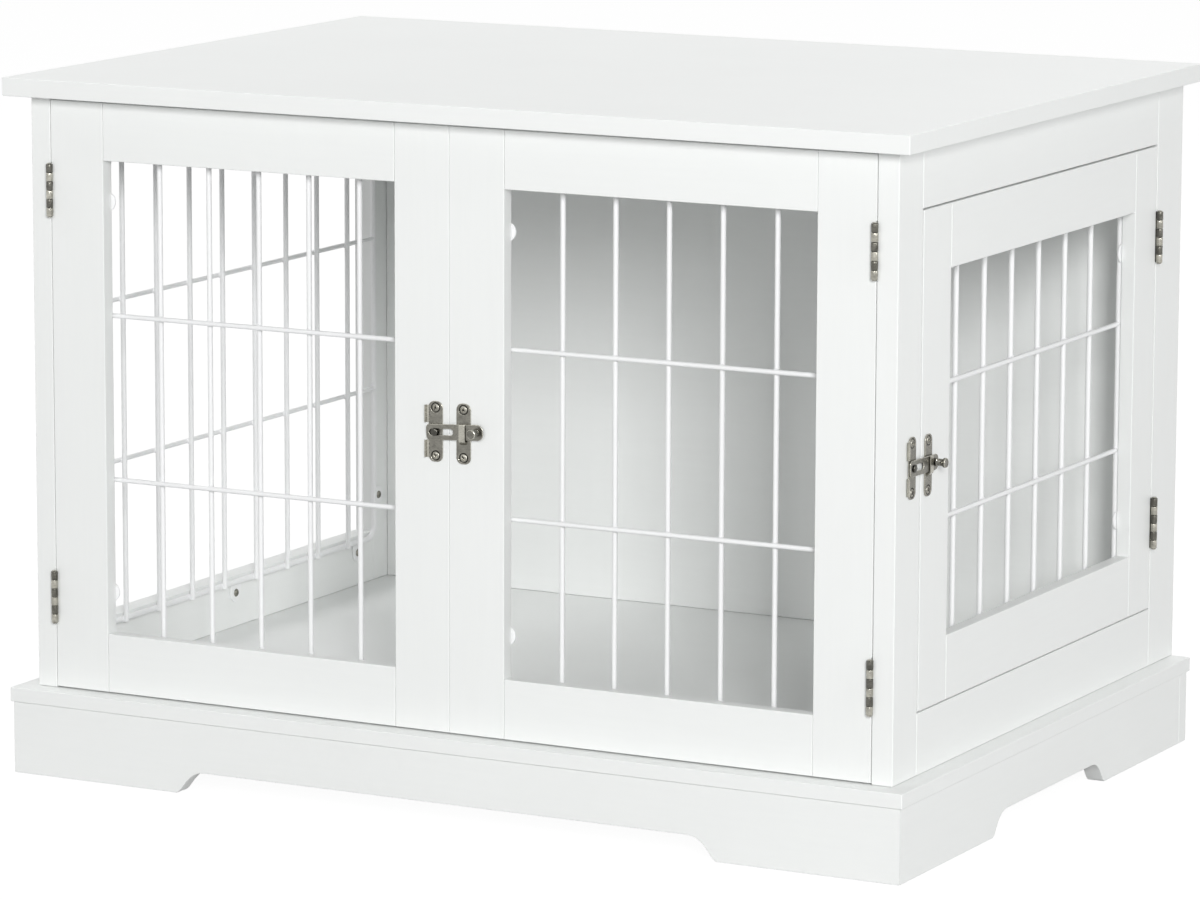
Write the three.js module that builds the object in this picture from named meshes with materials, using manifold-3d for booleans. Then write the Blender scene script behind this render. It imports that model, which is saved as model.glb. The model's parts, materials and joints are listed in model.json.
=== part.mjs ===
// Dog crate end table: a white cabinet with a pair of barred doors in front, a barred door in its
// right side, a fixed barred opening in its left side, a solid back and a plinth with shaped feet.
//
// Millimetres. X runs along the front, +Y points to the back, +Z points up. The origin is on the
// floor, under the middle of the table top.

import * as THREE from "three";
import { mergeVertices } from "three/addons/utils/BufferGeometryUtils.js";
import Module from "manifold-3d";

const wasm = await Module();
wasm.setup();

// ---------------------------------------------------------------- driving dimensions

const WIDTH = 810;
const DEPTH = 580;
const HEIGHT = 577;

const TOP_THICKNESS = 15;
const SIDE_OVERHANG = 16.5;        // top past the side frames
const FRONT_OVERHANG = 18;         // top past the front doors
const EDGE = 0.8;                  // eased edge of every board
const SEAT_GAP = 0.2;              // between pieces that touch

const BASE_HEIGHT = 72;            // floor to the upper face of the base plate
const BASE_PLATE_THICKNESS = 12;
const SKIRT_THICKNESS = 15;
const SKIRT_INSET = 2;             // skirt face behind the base plate's edge
const FOOT_RISE = 18.8;            // height of the cut-out between two feet
const FOOT_CURVE = 27;             // run of the curve that leads up to the cut-out
const FOOT_HEEL = [7, 3];          // how the curve leaves the floor: run and rise
const FOOT_CREST = 17;             // how far the curve's top is drawn out
const FRONT_FOOT = 157;            // foot length along the front and back
const SIDE_FOOT = 175.5;           // foot length along the sides

const FRAME_THICKNESS = 17.9;
const BACK_THICKNESS = 15;
const LEFT_FRAME = { frontPost: 41, rearPost: 40, topRail: 45, bottomRail: 45 };
const RIGHT_FRAME = { frontPost: 43.4, rearPost: 53.2, topRail: 48.2, bottomRail: 49.4 };

const DOOR_THICKNESS = 12;
const SPLIT_GAP = 1;               // between the front doors
const SIDE_DOOR_GAP = 2.2;         // round the side door's edges, but for its hinges
const FRONT_DOOR_TOP_GAP = 3;
const FRONT_DOOR_BOTTOM_GAP = 1.2;
const FRONT_DOOR = { hingeStile: 48.6, latchStile: 48.8, topRail: 47, bottomRail: 48.5 };
const SIDE_DOOR = { hingeStile: 43.9, latchStile: 51, topRail: 49.6, bottomRail: 50 };

const RING_RADIUS = 2.5;           // wire of the grille's outer ring
const RING_CORNER = 12;
const COLUMN_RADIUS = 2.2;         // upright bars
const ROW_RADIUS = 2;              // level bars
const WELD_DEPTH = 0.35;           // how far welded bars sink into each other
const BAR_OVERRUN = 1.5;           // upright bars past the ring's centre line
const TAB_RADIUS = 8;
const TAB_REACH = 10;              // ring centre line to the tab's screw
const TAB_THICKNESS = 1.5;
const TAB_SCREW = { radius: 3.5, height: 1.8 };

// lap: ring centre line past the edge of the opening; drop: grille centre below the opening's;
// tail: whether the tabs reach back over the ring; every side has its tabs, and the top and bottom
// have one in the middle and, with a cornerTabInset, one near each end
const DOOR_GRILLE = {
  columns: 5, rows: 2, lapAcross: 4.3, lapUp: 8.2, drop: 1, tabInset: 42, tail: true,
};
const SIDE_GRILLE = {
  columns: 6, rows: 2, lapAcross: 2.8, lapUp: 14.9, drop: 2.6, tabInset: 47, tail: true,
};
const FIXED_GRILLE = {
  columns: 8, rows: 2, lapAcross: -3, lapUp: 3.4, drop: 1.2, tabInset: 37, cornerTabInset: 27.5,
  tail: false,
};

const HINGE_LENGTH = 44.5;
const HINGE_KNUCKLES = 6;
const KNUCKLE_GAP = 0.3;           // between knuckles, and between a knuckle and what it turns past
const KNUCKLE_WALL = 1.3;
const PIN_RADIUS = 1.2;
const PIN_PLAY = 0.3;              // between the pin and the knuckles' bore
const PIN_HEAD = { rim: 0.8, height: 0.6 };
const LEAF_THICKNESS = 0.5;
const LEAF_SPACE = 0.2;            // between the two leaves of a closed hinge
const LEAF_REACH = 11;             // leaf into the gap, from the door's face
const FRONT_HINGE_INSETS = { upper: 73.5, lower: 75.5 };   // hinge centres from the door's ends
const SIDE_HINGE_INSETS = { upper: 75, lower: 71.5 };

const PLATE = { width: 12.8, height: 48.6, thickness: 1, corner: 4.5 };
const PLATE_SCREW = { spacing: 38.4, radius: 3.4, height: 0.5 };
const LIP = { space: 0.8, length: 13.8, root: 1, wall: 1.1, proud: 3 };
const BAR = { length: 51, height: 12.6, thickness: 1.2, tail: 7.45, tailCorner: 3, headCorner: 5 };
const BAR_TAIL_SPACE = 0.15;       // between the bar's tail and the lips' walls, at rest
const SLOT = { slack: 2.65, play: 0.35, length: 21.7 };
const RIVET = { shank: 2.2, shoulder: 1.4, head: 0.9, dome: 1.1 };
const LATCH_PLAY = 0.3;            // clearance of the bar to the rivet's head and to the strap
const BAR_LIFT = 0.7;              // bar above the plate, over the screw heads
const KNOB = {
  inset: 5.75, height: 9.6, stem: 1.4, collar: 3.2, collarHeight: 1.6, waist: 2.8, flare: 1,
  head: 3.9, headHeight: 3.4, edge: 0.7,
};
const STRAP = { width: 5.6, thickness: 0.9, top: 7.6, seat: 1.45, slope: 1.4, bend: 0.6, foot: 4 };
// offset: pivot from the middle of the front, or behind the front face; level: above mid-height
const FRONT_LATCH = { offset: 11.65, level: -1.2, keeperDistance: 25.2, keeperRise: 0 };
const SIDE_LATCH = { offset: 27.1, level: -0.8, keeperDistance: 29.5, keeperRise: -2 };

const WIRE_SIDES = 6;
const DOME_STEPS = 3;
const DRILL_LENGTH = 40;
const ROUND_SIDES = 10;
const CORNER_STEPS = 3;
const SKIRT_CURVE_STEPS = 8;

// ---------------------------------------------------------------- places that follow from them

const FRONT = -DEPTH / 2 + FRONT_OVERHANG;         // front face of the doors and front posts
const BACK = DEPTH / 2;
const SIDE = WIDTH / 2 - SIDE_OVERHANG;            // outer faces of the side frames
const INNER = SIDE - FRAME_THICKNESS;              // inner faces of the side frames
const FLOOR = BASE_HEIGHT;
const CEILING = HEIGHT - TOP_THICKNESS;
const MID_HEIGHT = (FLOOR + CEILING) / 2;
const SKIRT_HEIGHT = BASE_HEIGHT - BASE_PLATE_THICKNESS;
const SKIRT_X = WIDTH / 2 - SKIRT_INSET;
const SKIRT_Y = DEPTH / 2 - SKIRT_INSET;

const KNUCKLE_BORE = PIN_RADIUS + PIN_PLAY;
const KNUCKLE_RADIUS = KNUCKLE_BORE + KNUCKLE_WALL;
const HINGE_PROUD = KNUCKLE_RADIUS + KNUCKLE_GAP;  // hinge axis in front of the door's face
const HINGE_GAP = 2 * (SEAT_GAP + LEAF_THICKNESS) + LEAF_SPACE;

const QUARTER = Math.PI / 2;

// ---------------------------------------------------------------- materials

const paint = new THREE.MeshStandardMaterial({ color: 0xeeefee, roughness: 0.42, metalness: 0 });
const wirePaint = new THREE.MeshStandardMaterial({ color: 0xf2f3f3, roughness: 0.35, metalness: 0 });
const nickel = new THREE.MeshStandardMaterial({ color: 0x8d8b83, roughness: 0.28, metalness: 1 });
const brightNickel = new THREE.MeshStandardMaterial({ color: 0xb9b8b2, roughness: 0.2, metalness: 1 });

// ---------------------------------------------------------------- solids

/** Closed three.js geometry as a solid, its seams welded and its empty triangles left out. */
function solid(geometry) {
  geometry.deleteAttribute("normal");
  geometry.deleteAttribute("uv");
  const welded = mergeVertices(geometry, 1e-5);
  const index = welded.index.array;
  const triangles = [];
  for (let i = 0; i < index.length; i += 3) {
    const [a, b, c] = [index[i], index[i + 1], index[i + 2]];
    if (a !== b && b !== c && c !== a) triangles.push(a, b, c);
  }
  const vertProperties = new Float32Array(welded.attributes.position.array);
  const mesh = new wasm.Mesh({ numProp: 3, vertProperties, triVerts: new Uint32Array(triangles) });
  mesh.merge();
  return new wasm.Manifold(mesh);
}

/** Named mesh of a solid. */
function piece(name, material, body) {
  const { numProp, vertProperties, triVerts } = body.getMesh();
  const positions = new Float32Array((vertProperties.length / numProp) * 3);
  for (let i = 0; i < positions.length / 3; i++) {
    positions.set(vertProperties.subarray(i * numProp, i * numProp + 3), i * 3);
  }
  const geometry = new THREE.BufferGeometry();
  geometry.setAttribute("position", new THREE.BufferAttribute(positions, 3));
  geometry.setIndex(new THREE.BufferAttribute(new Uint32Array(triVerts), 1));
  geometry.computeVertexNormals();
  const mesh = new THREE.Mesh(geometry, material);
  mesh.name = name;
  return mesh;
}

/** Drill for a hole through a plate, along Y. */
function drill(radius, x) {
  const geometry = new THREE.CylinderGeometry(radius, radius, DRILL_LENGTH, ROUND_SIDES);
  geometry.translate(x, 0, 0);
  return solid(geometry);
}

function joined(bodies) {
  return bodies.reduce((whole, body) => whole.add(body));
}

/** Group of pieces, turned about Z and then moved. */
function placed(pieces, x, y, z, turn = 0) {
  const group = new THREE.Group();
  group.position.set(x, y, z);
  group.rotation.z = turn;
  group.add(...pieces);
  return group;
}

function rectangle(x0, x1, y0, y1) {
  const outline = new THREE.Shape();
  outline.moveTo(x0, y0);
  outline.lineTo(x1, y0);
  outline.lineTo(x1, y1);
  outline.lineTo(x0, y1);
  outline.closePath();
  return outline;
}

/** Board between two corners, eased round both broad faces; thin names its thickness axis. */
function board(thin, [x0, x1], [y0, y1], [z0, z1]) {
  const size = { x: x1 - x0, y: y1 - y0, z: z1 - z0 };
  const across = thin === "x" ? size.z : size.x;
  const along = thin === "y" ? size.z : size.y;
  const outline = rectangle(-across / 2, across / 2, -along / 2, along / 2);
  const geometry = new THREE.ExtrudeGeometry(outline, {
    depth: size[thin] - 2 * EDGE, bevelThickness: EDGE, bevelSize: EDGE, bevelOffset: -EDGE,
    bevelSegments: 1,
  });
  geometry.translate(0, 0, EDGE - size[thin] / 2);
  if (thin === "x") geometry.rotateY(QUARTER);
  if (thin === "y") geometry.rotateX(QUARTER);
  geometry.translate((x0 + x1) / 2, (y0 + y1) / 2, (z0 + z1) / 2);
  return solid(geometry);
}

/** Outline drawn in X and Z, as a plate between two heights out from the face at y = 0. */
function plate(outline, from, to, curveSegments = CORNER_STEPS) {
  const geometry = new THREE.ExtrudeGeometry(outline, {
    depth: to - from, bevelEnabled: false, curveSegments,
  });
  geometry.rotateX(QUARTER);
  geometry.translate(0, -from, 0);
  return solid(geometry);
}

/** Profile of [radius, height] pairs turned about Y, rising towards -Y or +Y. */
function turned(profile, towards) {
  const points = profile.map(([radius, height]) => new THREE.Vector2(radius, height));
  const geometry = new THREE.LatheGeometry(points, ROUND_SIDES);
  if (towards < 0) geometry.rotateX(Math.PI);
  return geometry;
}

/** Profile of a low dome that starts at a height and ends on the axis. */
function dome(radius, height, base) {
  const points = [];
  for (let step = 0; step < DOME_STEPS; step++) {
    const angle = (QUARTER * step) / DOME_STEPS;
    points.push([radius * Math.cos(angle), base + height * Math.sin(angle)]);
  }
  return [...points, [0, base + height]];
}

/** Domed screw head on the face at y = 0. */
function screwHead({ radius, height }, sink, x, z, towards) {
  const geometry = turned([[0, -sink], [radius, -sink], ...dome(radius, height, 0)], towards);
  geometry.translate(x, 0, z);
  return geometry;
}

function roundedOutline(x0, x1, z0, z1, startRadius, endRadius) {
  const outline = new THREE.Shape();
  outline.absarc(x1 - endRadius, z1 - endRadius, endRadius, 0, QUARTER);
  outline.absarc(x0 + startRadius, z1 - startRadius, startRadius, QUARTER, 2 * QUARTER);
  outline.absarc(x0 + startRadius, z0 + startRadius, startRadius, 2 * QUARTER, 3 * QUARTER);
  outline.absarc(x1 - endRadius, z0 + endRadius, endRadius, 3 * QUARTER, 4 * QUARTER);
  return outline;
}

// ---------------------------------------------------------------- plinth

/** Skirt board, drawn lying along X and centred, with a cut-out between its two feet. */
function skirt(length, foot) {
  const half = length / 2;
  const heel = half - foot;
  const top = heel - FOOT_CURVE;
  const [run, rise] = FOOT_HEEL;
  const outline = new THREE.Shape();
  outline.moveTo(-half, 0);
  outline.lineTo(-heel, 0);
  outline.bezierCurveTo(run - heel, rise, -top - FOOT_CREST, FOOT_RISE, -top, FOOT_RISE);
  outline.lineTo(top, FOOT_RISE);
  outline.bezierCurveTo(top + FOOT_CREST, FOOT_RISE, heel - run, rise, heel, 0);
  outline.lineTo(half, 0);
  outline.lineTo(half, SKIRT_HEIGHT - SEAT_GAP);
  outline.lineTo(-half, SKIRT_HEIGHT - SEAT_GAP);
  outline.closePath();
  const geometry = new THREE.ExtrudeGeometry(outline, {
    depth: SKIRT_THICKNESS, bevelEnabled: false, curveSegments: SKIRT_CURVE_STEPS,
  });
  geometry.rotateX(QUARTER);
  geometry.translate(0, SKIRT_THICKNESS / 2, 0);
  return solid(geometry);
}

/** Wedge that mitres the end of a skirt; sign is the end, lying along X. */
function mitre(sign, length) {
  const half = length / 2 - SEAT_GAP / 2;
  const reach = SKIRT_THICKNESS * 2;
  const inner = new THREE.Vector2(sign * (half - SKIRT_THICKNESS), SKIRT_THICKNESS / 2);
  const outline = new THREE.Shape();
  outline.moveTo(inner.x - sign * reach, inner.y + reach);
  outline.lineTo(inner.x + sign * reach, inner.y - reach);
  outline.lineTo(inner.x + sign * 2 * reach, inner.y + reach);
  outline.closePath();
  const geometry = new THREE.ExtrudeGeometry(outline, {
    depth: SKIRT_HEIGHT * 2, bevelEnabled: false,
  });
  geometry.translate(0, 0, -SKIRT_HEIGHT / 2);
  return solid(geometry);
}

function plinth() {
  const frontLength = 2 * SKIRT_X;
  const sideLength = 2 * SKIRT_Y;
  const middle = SKIRT_THICKNESS / 2;
  const rearFace = SKIRT_Y - SKIRT_THICKNESS - SEAT_GAP;
  const front = skirt(frontLength, FRONT_FOOT).subtract(mitre(-1, frontLength))
    .subtract(mitre(1, frontLength));
  const rear = skirt(frontLength, FRONT_FOOT);
  const pieces = [
    placed([piece("front_skirt", paint, front)], 0, middle - SKIRT_Y, 0),
    placed([piece("rear_skirt", paint, rear)], 0, SKIRT_Y - middle, 0),
  ];
  for (const [name, sign] of [["left_skirt", -1], ["right_skirt", 1]]) {
    // drawn along X with its outer face towards -Y, then turned to face its own side
    const trim = plate(rectangle(rearFace, sideLength, -SKIRT_HEIGHT, 2 * SKIRT_HEIGHT),
      -SKIRT_THICKNESS, SKIRT_THICKNESS);
    const rearTrim = sign > 0 ? trim : trim.mirror([1, 0, 0]);
    const side = skirt(sideLength, SIDE_FOOT).subtract(mitre(-sign, sideLength)).subtract(rearTrim);
    pieces.push(placed([piece(name, paint, side)], sign * (SKIRT_X - middle), 0, 0, sign * QUARTER));
  }
  const basePlate = board("z", [-WIDTH / 2, WIDTH / 2], [-DEPTH / 2, DEPTH / 2], [SKIRT_HEIGHT, FLOOR]);
  pieces.push(piece("base_plate", paint, basePlate));
  return pieces;
}

// ---------------------------------------------------------------- carcass

/** Posts and rails of one side; sign is -1 for the left and 1 for the right. */
function sideFrame(name, sign, frame) {
  const x = [sign * INNER, sign * SIDE].sort((a, b) => a - b);
  const z = [FLOOR + SEAT_GAP, CEILING - SEAT_GAP];
  const railY = [FRONT + frame.frontPost + SEAT_GAP, BACK - frame.rearPost - SEAT_GAP];
  const parts = {
    front_post: board("x", x, [FRONT, FRONT + frame.frontPost], z),
    rear_post: board("x", x, [BACK - frame.rearPost, BACK], z),
    top_rail: board("x", x, railY, [CEILING - frame.topRail, CEILING - SEAT_GAP]),
    bottom_rail: board("x", x, railY, [FLOOR + SEAT_GAP, FLOOR + frame.bottomRail]),
  };
  return Object.entries(parts).map(([part, body]) => piece(`${name}_${part}`, paint, body));
}

function carcass() {
  const top = board("z", [-WIDTH / 2, WIDTH / 2], [-DEPTH / 2, DEPTH / 2], [CEILING, HEIGHT]);
  const panelX = [-INNER + SEAT_GAP, INNER - SEAT_GAP];
  const back = board("y", panelX, [BACK - BACK_THICKNESS, BACK], [FLOOR + SEAT_GAP, CEILING - SEAT_GAP]);
  return [
    piece("tabletop", paint, top),
    piece("back_panel", paint, back),
    ...sideFrame("left", -1, LEFT_FRAME),
    ...sideFrame("right", 1, RIGHT_FRAME),
  ];
}

// ---------------------------------------------------------------- wire grilles

/** Closed loop of wire with round corners, in the XZ plane. */
function wireLoop(width, height) {
  const positions = [];
  const corners = [[1, 1], [-1, 1], [-1, -1], [1, -1]];
  corners.forEach(([signX, signZ], corner) => {
    for (let step = 0; step <= CORNER_STEPS; step++) {
      const angle = QUARTER * (corner + step / CORNER_STEPS);
      const centreX = signX * (width / 2 - RING_CORNER);
      const centreZ = signZ * (height / 2 - RING_CORNER);
      for (let side = 0; side < WIRE_SIDES; side++) {
        const turn = (2 * Math.PI * (side + 0.5)) / WIRE_SIDES;
        const out = RING_CORNER + RING_RADIUS * Math.cos(turn);
        positions.push(centreX + out * Math.cos(angle), RING_RADIUS * Math.sin(turn),
          centreZ + out * Math.sin(angle));
      }
    }
  });
  const stations = positions.length / 3 / WIRE_SIDES;
  const index = [];
  for (let i = 0; i < stations; i++) {
    for (let j = 0; j < WIRE_SIDES; j++) {
      const here = i * WIRE_SIDES;
      const ahead = ((i + 1) % stations) * WIRE_SIDES;
      const next = (j + 1) % WIRE_SIDES;
      index.push(here + j, here + next, ahead + next, here + j, ahead + next, ahead + j);
    }
  }
  const geometry = new THREE.BufferGeometry();
  geometry.setAttribute("position", new THREE.Float32BufferAttribute(positions, 3));
  geometry.setIndex(index);
  return geometry;
}

/** Tab that reaches out from the ring towards +X, with its screw head; it lies on y = 0. */
function tabBodies(tail) {
  const outline = new THREE.Shape();
  outline.absarc(TAB_REACH, 0, TAB_RADIUS, -QUARTER, QUARTER);
  if (tail) {
    outline.absarc(0, 0, TAB_RADIUS, QUARTER, 3 * QUARTER);
  } else {
    outline.lineTo(0, TAB_RADIUS);
    outline.lineTo(0, -TAB_RADIUS);
  }
  const strip = new THREE.ExtrudeGeometry(outline, {
    depth: TAB_THICKNESS, bevelEnabled: false, curveSegments: 2 * CORNER_STEPS,
  });
  strip.rotateX(-QUARTER);
  const screw = screwHead(TAB_SCREW, TAB_THICKNESS / 2, TAB_REACH, 0, 1);
  screw.translate(0, TAB_THICKNESS, 0);
  return [strip, screw];
}

/** Grille for an opening; its centre is the origin and it lies on the wood at y = 0, towards +Y. */
function grille(name, openingWidth, openingHeight, spec) {
  const width = openingWidth + 2 * spec.lapAcross;
  const height = openingHeight + 2 * spec.lapUp;
  const ringY = SEAT_GAP + RING_RADIUS;
  const columnY = ringY + ROW_RADIUS + COLUMN_RADIUS - WELD_DEPTH;
  const ring = wireLoop(width, height);
  ring.translate(0, ringY, 0);
  const bodies = [solid(ring)];
  for (let row = 1; row <= spec.rows; row++) {
    const bar = new THREE.CylinderGeometry(ROW_RADIUS, ROW_RADIUS, width, WIRE_SIDES);
    bar.rotateZ(QUARTER);
    bar.translate(0, ringY, height * (row / (spec.rows + 1) - 0.5));
    bodies.push(solid(bar));
  }
  for (let column = 1; column <= spec.columns; column++) {
    const length = height + 2 * BAR_OVERRUN;
    const bar = new THREE.CylinderGeometry(COLUMN_RADIUS, COLUMN_RADIUS, length, WIRE_SIDES);
    bar.rotateX(QUARTER);
    bar.translate(width * (column / (spec.columns + 1) - 0.5), columnY, 0);
    bodies.push(solid(bar));
  }
  const tabs = [];
  for (const level of [height / 2 - spec.tabInset, spec.tabInset - height / 2]) {
    tabs.push({ turn: 0, x: width / 2, z: level }, { turn: Math.PI, x: -width / 2, z: level });
  }
  const corner = width / 2 - spec.cornerTabInset;
  for (const x of spec.cornerTabInset ? [-corner, 0, corner] : [0]) {
    tabs.push({ turn: -QUARTER, x, z: height / 2 }, { turn: QUARTER, x, z: -height / 2 });
  }
  for (const { turn, x, z } of tabs) {
    for (const geometry of tabBodies(spec.tail)) {
      geometry.rotateY(turn);
      geometry.translate(x, SEAT_GAP, z);
      bodies.push(solid(geometry));
    }
  }
  return piece(name, wirePaint, joined(bodies));
}

function leftSideGrille() {
  const { frontPost, rearPost, topRail, bottomRail } = LEFT_FRAME;
  const [y0, y1] = [FRONT + frontPost, BACK - rearPost];
  const [z0, z1] = [FLOOR + bottomRail, CEILING - topRail];
  const mesh = grille("left_side_grille", y1 - y0, z1 - z0, FIXED_GRILLE);
  return placed([mesh], -INNER, (y0 + y1) / 2, (z0 + z1) / 2 - FIXED_GRILLE.drop, -QUARTER);
}

// ---------------------------------------------------------------- hinges

/** Knuckles and leaf of one half of a hinge; side is where its leaf stands, first its lowest knuckle. */
function hingeLeaf(side, first) {
  const barrel = HINGE_LENGTH - 2 * (PIN_HEAD.height + KNUCKLE_GAP);
  const pitch = (barrel + KNUCKLE_GAP) / HINGE_KNUCKLES;
  const outer = HINGE_GAP / 2 - SEAT_GAP;
  const x = [outer - LEAF_THICKNESS, outer].map((value) => side * value).sort((a, b) => a - b);
  const leafY = HINGE_PROUD + SEAT_GAP;
  const neckY = (KNUCKLE_BORE + KNUCKLE_RADIUS) / 2;
  const box = (y0, y1, z0, z1) => {
    const geometry = new THREE.BoxGeometry(x[1] - x[0], y1 - y0, z1 - z0);
    geometry.translate((x[0] + x[1]) / 2, (y0 + y1) / 2, (z0 + z1) / 2);
    return solid(geometry);
  };
  const bodies = [box(leafY, HINGE_PROUD + LEAF_REACH, -barrel / 2, barrel / 2)];
  for (let knuckle = first; knuckle < HINGE_KNUCKLES; knuckle += 2) {
    const low = -barrel / 2 + knuckle * pitch;
    const high = low + pitch - KNUCKLE_GAP;
    const profile = [[KNUCKLE_BORE, low], [KNUCKLE_RADIUS, low], [KNUCKLE_RADIUS, high],
      [KNUCKLE_BORE, high], [KNUCKLE_BORE, low]];
    const ring = turned(profile, 1);
    ring.rotateX(QUARTER);
    bodies.push(solid(ring), box(neckY, leafY + LEAF_THICKNESS, low, high));
  }
  return joined(bodies);
}

function hingePin() {
  const head = PIN_RADIUS + PIN_HEAD.rim;
  const end = HINGE_LENGTH / 2;
  const neck = end - PIN_HEAD.height;
  const profile = [[0, -end], [head, -end], [head, -neck], [PIN_RADIUS, -neck], [PIN_RADIUS, neck],
    [head, neck], [head, end], [0, end]];
  const pin = turned(profile, 1);
  pin.rotateX(QUARTER);
  return solid(pin);
}

/** Hinges of a door whose edge is at x = 0; towards is the way the door reaches along X. */
function hinges(name, heights, towards) {
  return Object.entries(heights).map(([level, height]) => {
    const label = `${name}_${level}_hinge`;
    const meshes = [
      piece(`${label}_fixed_leaf`, nickel, hingeLeaf(-towards, 0)),
      piece(`${label}_door_leaf`, nickel, hingeLeaf(towards, 1)),
      piece(`${label}_pin`, nickel, hingePin()),
    ];
    return placed(meshes, (-towards * HINGE_GAP) / 2, -HINGE_PROUD, height);
  });
}

// ---------------------------------------------------------------- doors

/** Door with its hinge edge at x = 0, outer face at y = 0 and lower edge at z = 0. */
function door(name, towards, width, height, parts, spec) {
  const y = [0, DOOR_THICKNESS];
  const span = (near, far) => [towards * near, towards * far].sort((a, b) => a - b);
  const opening = {
    x: span(parts.hingeStile, width - parts.latchStile),
    z: [parts.bottomRail, height - parts.topRail],
  };
  const railX = [opening.x[0] + SEAT_GAP, opening.x[1] - SEAT_GAP];
  const boards = {
    hinge_stile: board("y", span(0, parts.hingeStile), y, [0, height]),
    latch_stile: board("y", span(width - parts.latchStile, width), y, [0, height]),
    top_rail: board("y", railX, y, [opening.z[1], height]),
    bottom_rail: board("y", railX, y, [0, opening.z[0]]),
  };
  const meshes = Object.entries(boards).map(([part, body]) => piece(`${name}_${part}`, paint, body));
  const middle = (pair) => (pair[0] + pair[1]) / 2;
  const bars = grille(`${name}_grille`, opening.x[1] - opening.x[0], opening.z[1] - opening.z[0], spec);
  bars.position.set(middle(opening.x), DOOR_THICKNESS, middle(opening.z) - spec.drop);
  return [...meshes, bars];
}

function frontDoors() {
  const bottom = FLOOR + FRONT_DOOR_BOTTOM_GAP;
  const height = CEILING - FRONT_DOOR_TOP_GAP - bottom;
  const edge = INNER - HINGE_GAP;
  const width = edge - SPLIT_GAP / 2;
  const heights = { upper: height - FRONT_HINGE_INSETS.upper, lower: FRONT_HINGE_INSETS.lower };
  return [["left_door", 1], ["right_door", -1]].map(([name, towards]) => {
    const pieces = door(name, towards, width, height, FRONT_DOOR, DOOR_GRILLE);
    return placed([...pieces, ...hinges(name, heights, towards)], -towards * edge, FRONT, bottom);
  });
}

function sideDoor() {
  const bottom = FLOOR + RIGHT_FRAME.bottomRail + SIDE_DOOR_GAP;
  const height = CEILING - RIGHT_FRAME.topRail - SIDE_DOOR_GAP - bottom;
  const edge = BACK - RIGHT_FRAME.rearPost - HINGE_GAP;
  const width = edge - (FRONT + RIGHT_FRAME.frontPost + SIDE_DOOR_GAP);
  const heights = { upper: height - SIDE_HINGE_INSETS.upper, lower: SIDE_HINGE_INSETS.lower };
  const pieces = door("side_door", -1, width, height, SIDE_DOOR, SIDE_GRILLE);
  return placed([...pieces, ...hinges("side_door", heights, -1)], SIDE, edge, bottom, QUARTER);
}

// ---------------------------------------------------------------- latches

const PLATE_FACE = SEAT_GAP + PLATE.thickness;
const BAR_BACK = PLATE_FACE + BAR_LIFT;
const BAR_FACE = BAR_BACK + BAR.thickness;
const STRAP_BACK = BAR_FACE + LATCH_PLAY;
const STRAP_SEAT = STRAP.seat - BAR.height / 2;
const SLOT_RADIUS = RIVET.shank + SLOT.play;
const LIP_WALL = BAR.tail + BAR_TAIL_SPACE;
const KNOB_OFFSET = BAR.length - BAR.tail - KNOB.inset;

/** Screw plate with round corners and its two screw heads, centred on the origin. */
function screwPlate() {
  const { width, height, corner, thickness } = PLATE;
  const outline = roundedOutline(-width / 2, width / 2, -height / 2, height / 2, corner, corner);
  const bodies = [plate(outline, SEAT_GAP, PLATE_FACE)];
  for (const z of [PLATE_SCREW.spacing / 2, -PLATE_SCREW.spacing / 2]) {
    const screw = screwHead(PLATE_SCREW, thickness / 2, 0, z, -1);
    screw.translate(0, -PLATE_FACE, 0);
    bodies.push(solid(screw));
  }
  return bodies;
}

/** Plate under the bar's pivot, with a lip above and below the bar's tail. */
function barPlate() {
  const root = LIP.root - PLATE.width / 2;
  const start = BAR.height / 2 + LIP.space;
  const outer = -LIP_WALL - LIP.wall;
  const bodies = screwPlate();
  for (const sign of [1, -1]) {
    const z = [sign * start, sign * (start + LIP.length)].sort((a, b) => a - b);
    bodies.push(plate(rectangle(outer, root, z[0], z[1]), SEAT_GAP, PLATE_FACE));
    bodies.push(plate(rectangle(outer, -LIP_WALL, z[0], z[1]), SEAT_GAP, LIP.proud));
  }
  return joined(bodies).subtract(drill(RIVET.shank + LATCH_PLAY, 0));
}

function latchRivet() {
  const back = SEAT_GAP + LATCH_PLAY;
  const head = BAR_FACE + LATCH_PLAY;
  const shoulder = RIVET.shank + RIVET.shoulder;
  const profile = [[0, back], [RIVET.shank, back], [RIVET.shank, PLATE_FACE + SEAT_GAP],
    [shoulder, PLATE_FACE + SEAT_GAP], [shoulder, BAR_BACK - SEAT_GAP],
    [RIVET.shank, BAR_BACK - SEAT_GAP], [RIVET.shank, head],
    ...dome(RIVET.shank + RIVET.head, RIVET.dome, head)];
  return solid(turned(profile, -1));
}

function latchBar() {
  const outline = roundedOutline(-BAR.tail, BAR.length - BAR.tail, -BAR.height / 2, BAR.height / 2,
    BAR.tailCorner, BAR.headCorner);
  const start = SLOT_RADIUS - RIVET.shank - SLOT.slack;
  const end = start + SLOT.length - 2 * SLOT_RADIUS;
  const slot = new THREE.Path();
  slot.absarc(start, 0, SLOT_RADIUS, -QUARTER, QUARTER, true);
  slot.absarc(end, 0, SLOT_RADIUS, QUARTER, -QUARTER, true);
  outline.holes.push(slot);
  const bar = plate(outline, BAR_BACK, BAR_FACE, 2 * CORNER_STEPS);
  return bar.subtract(drill(KNOB.stem + LATCH_PLAY, KNOB_OFFSET));
}

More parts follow.
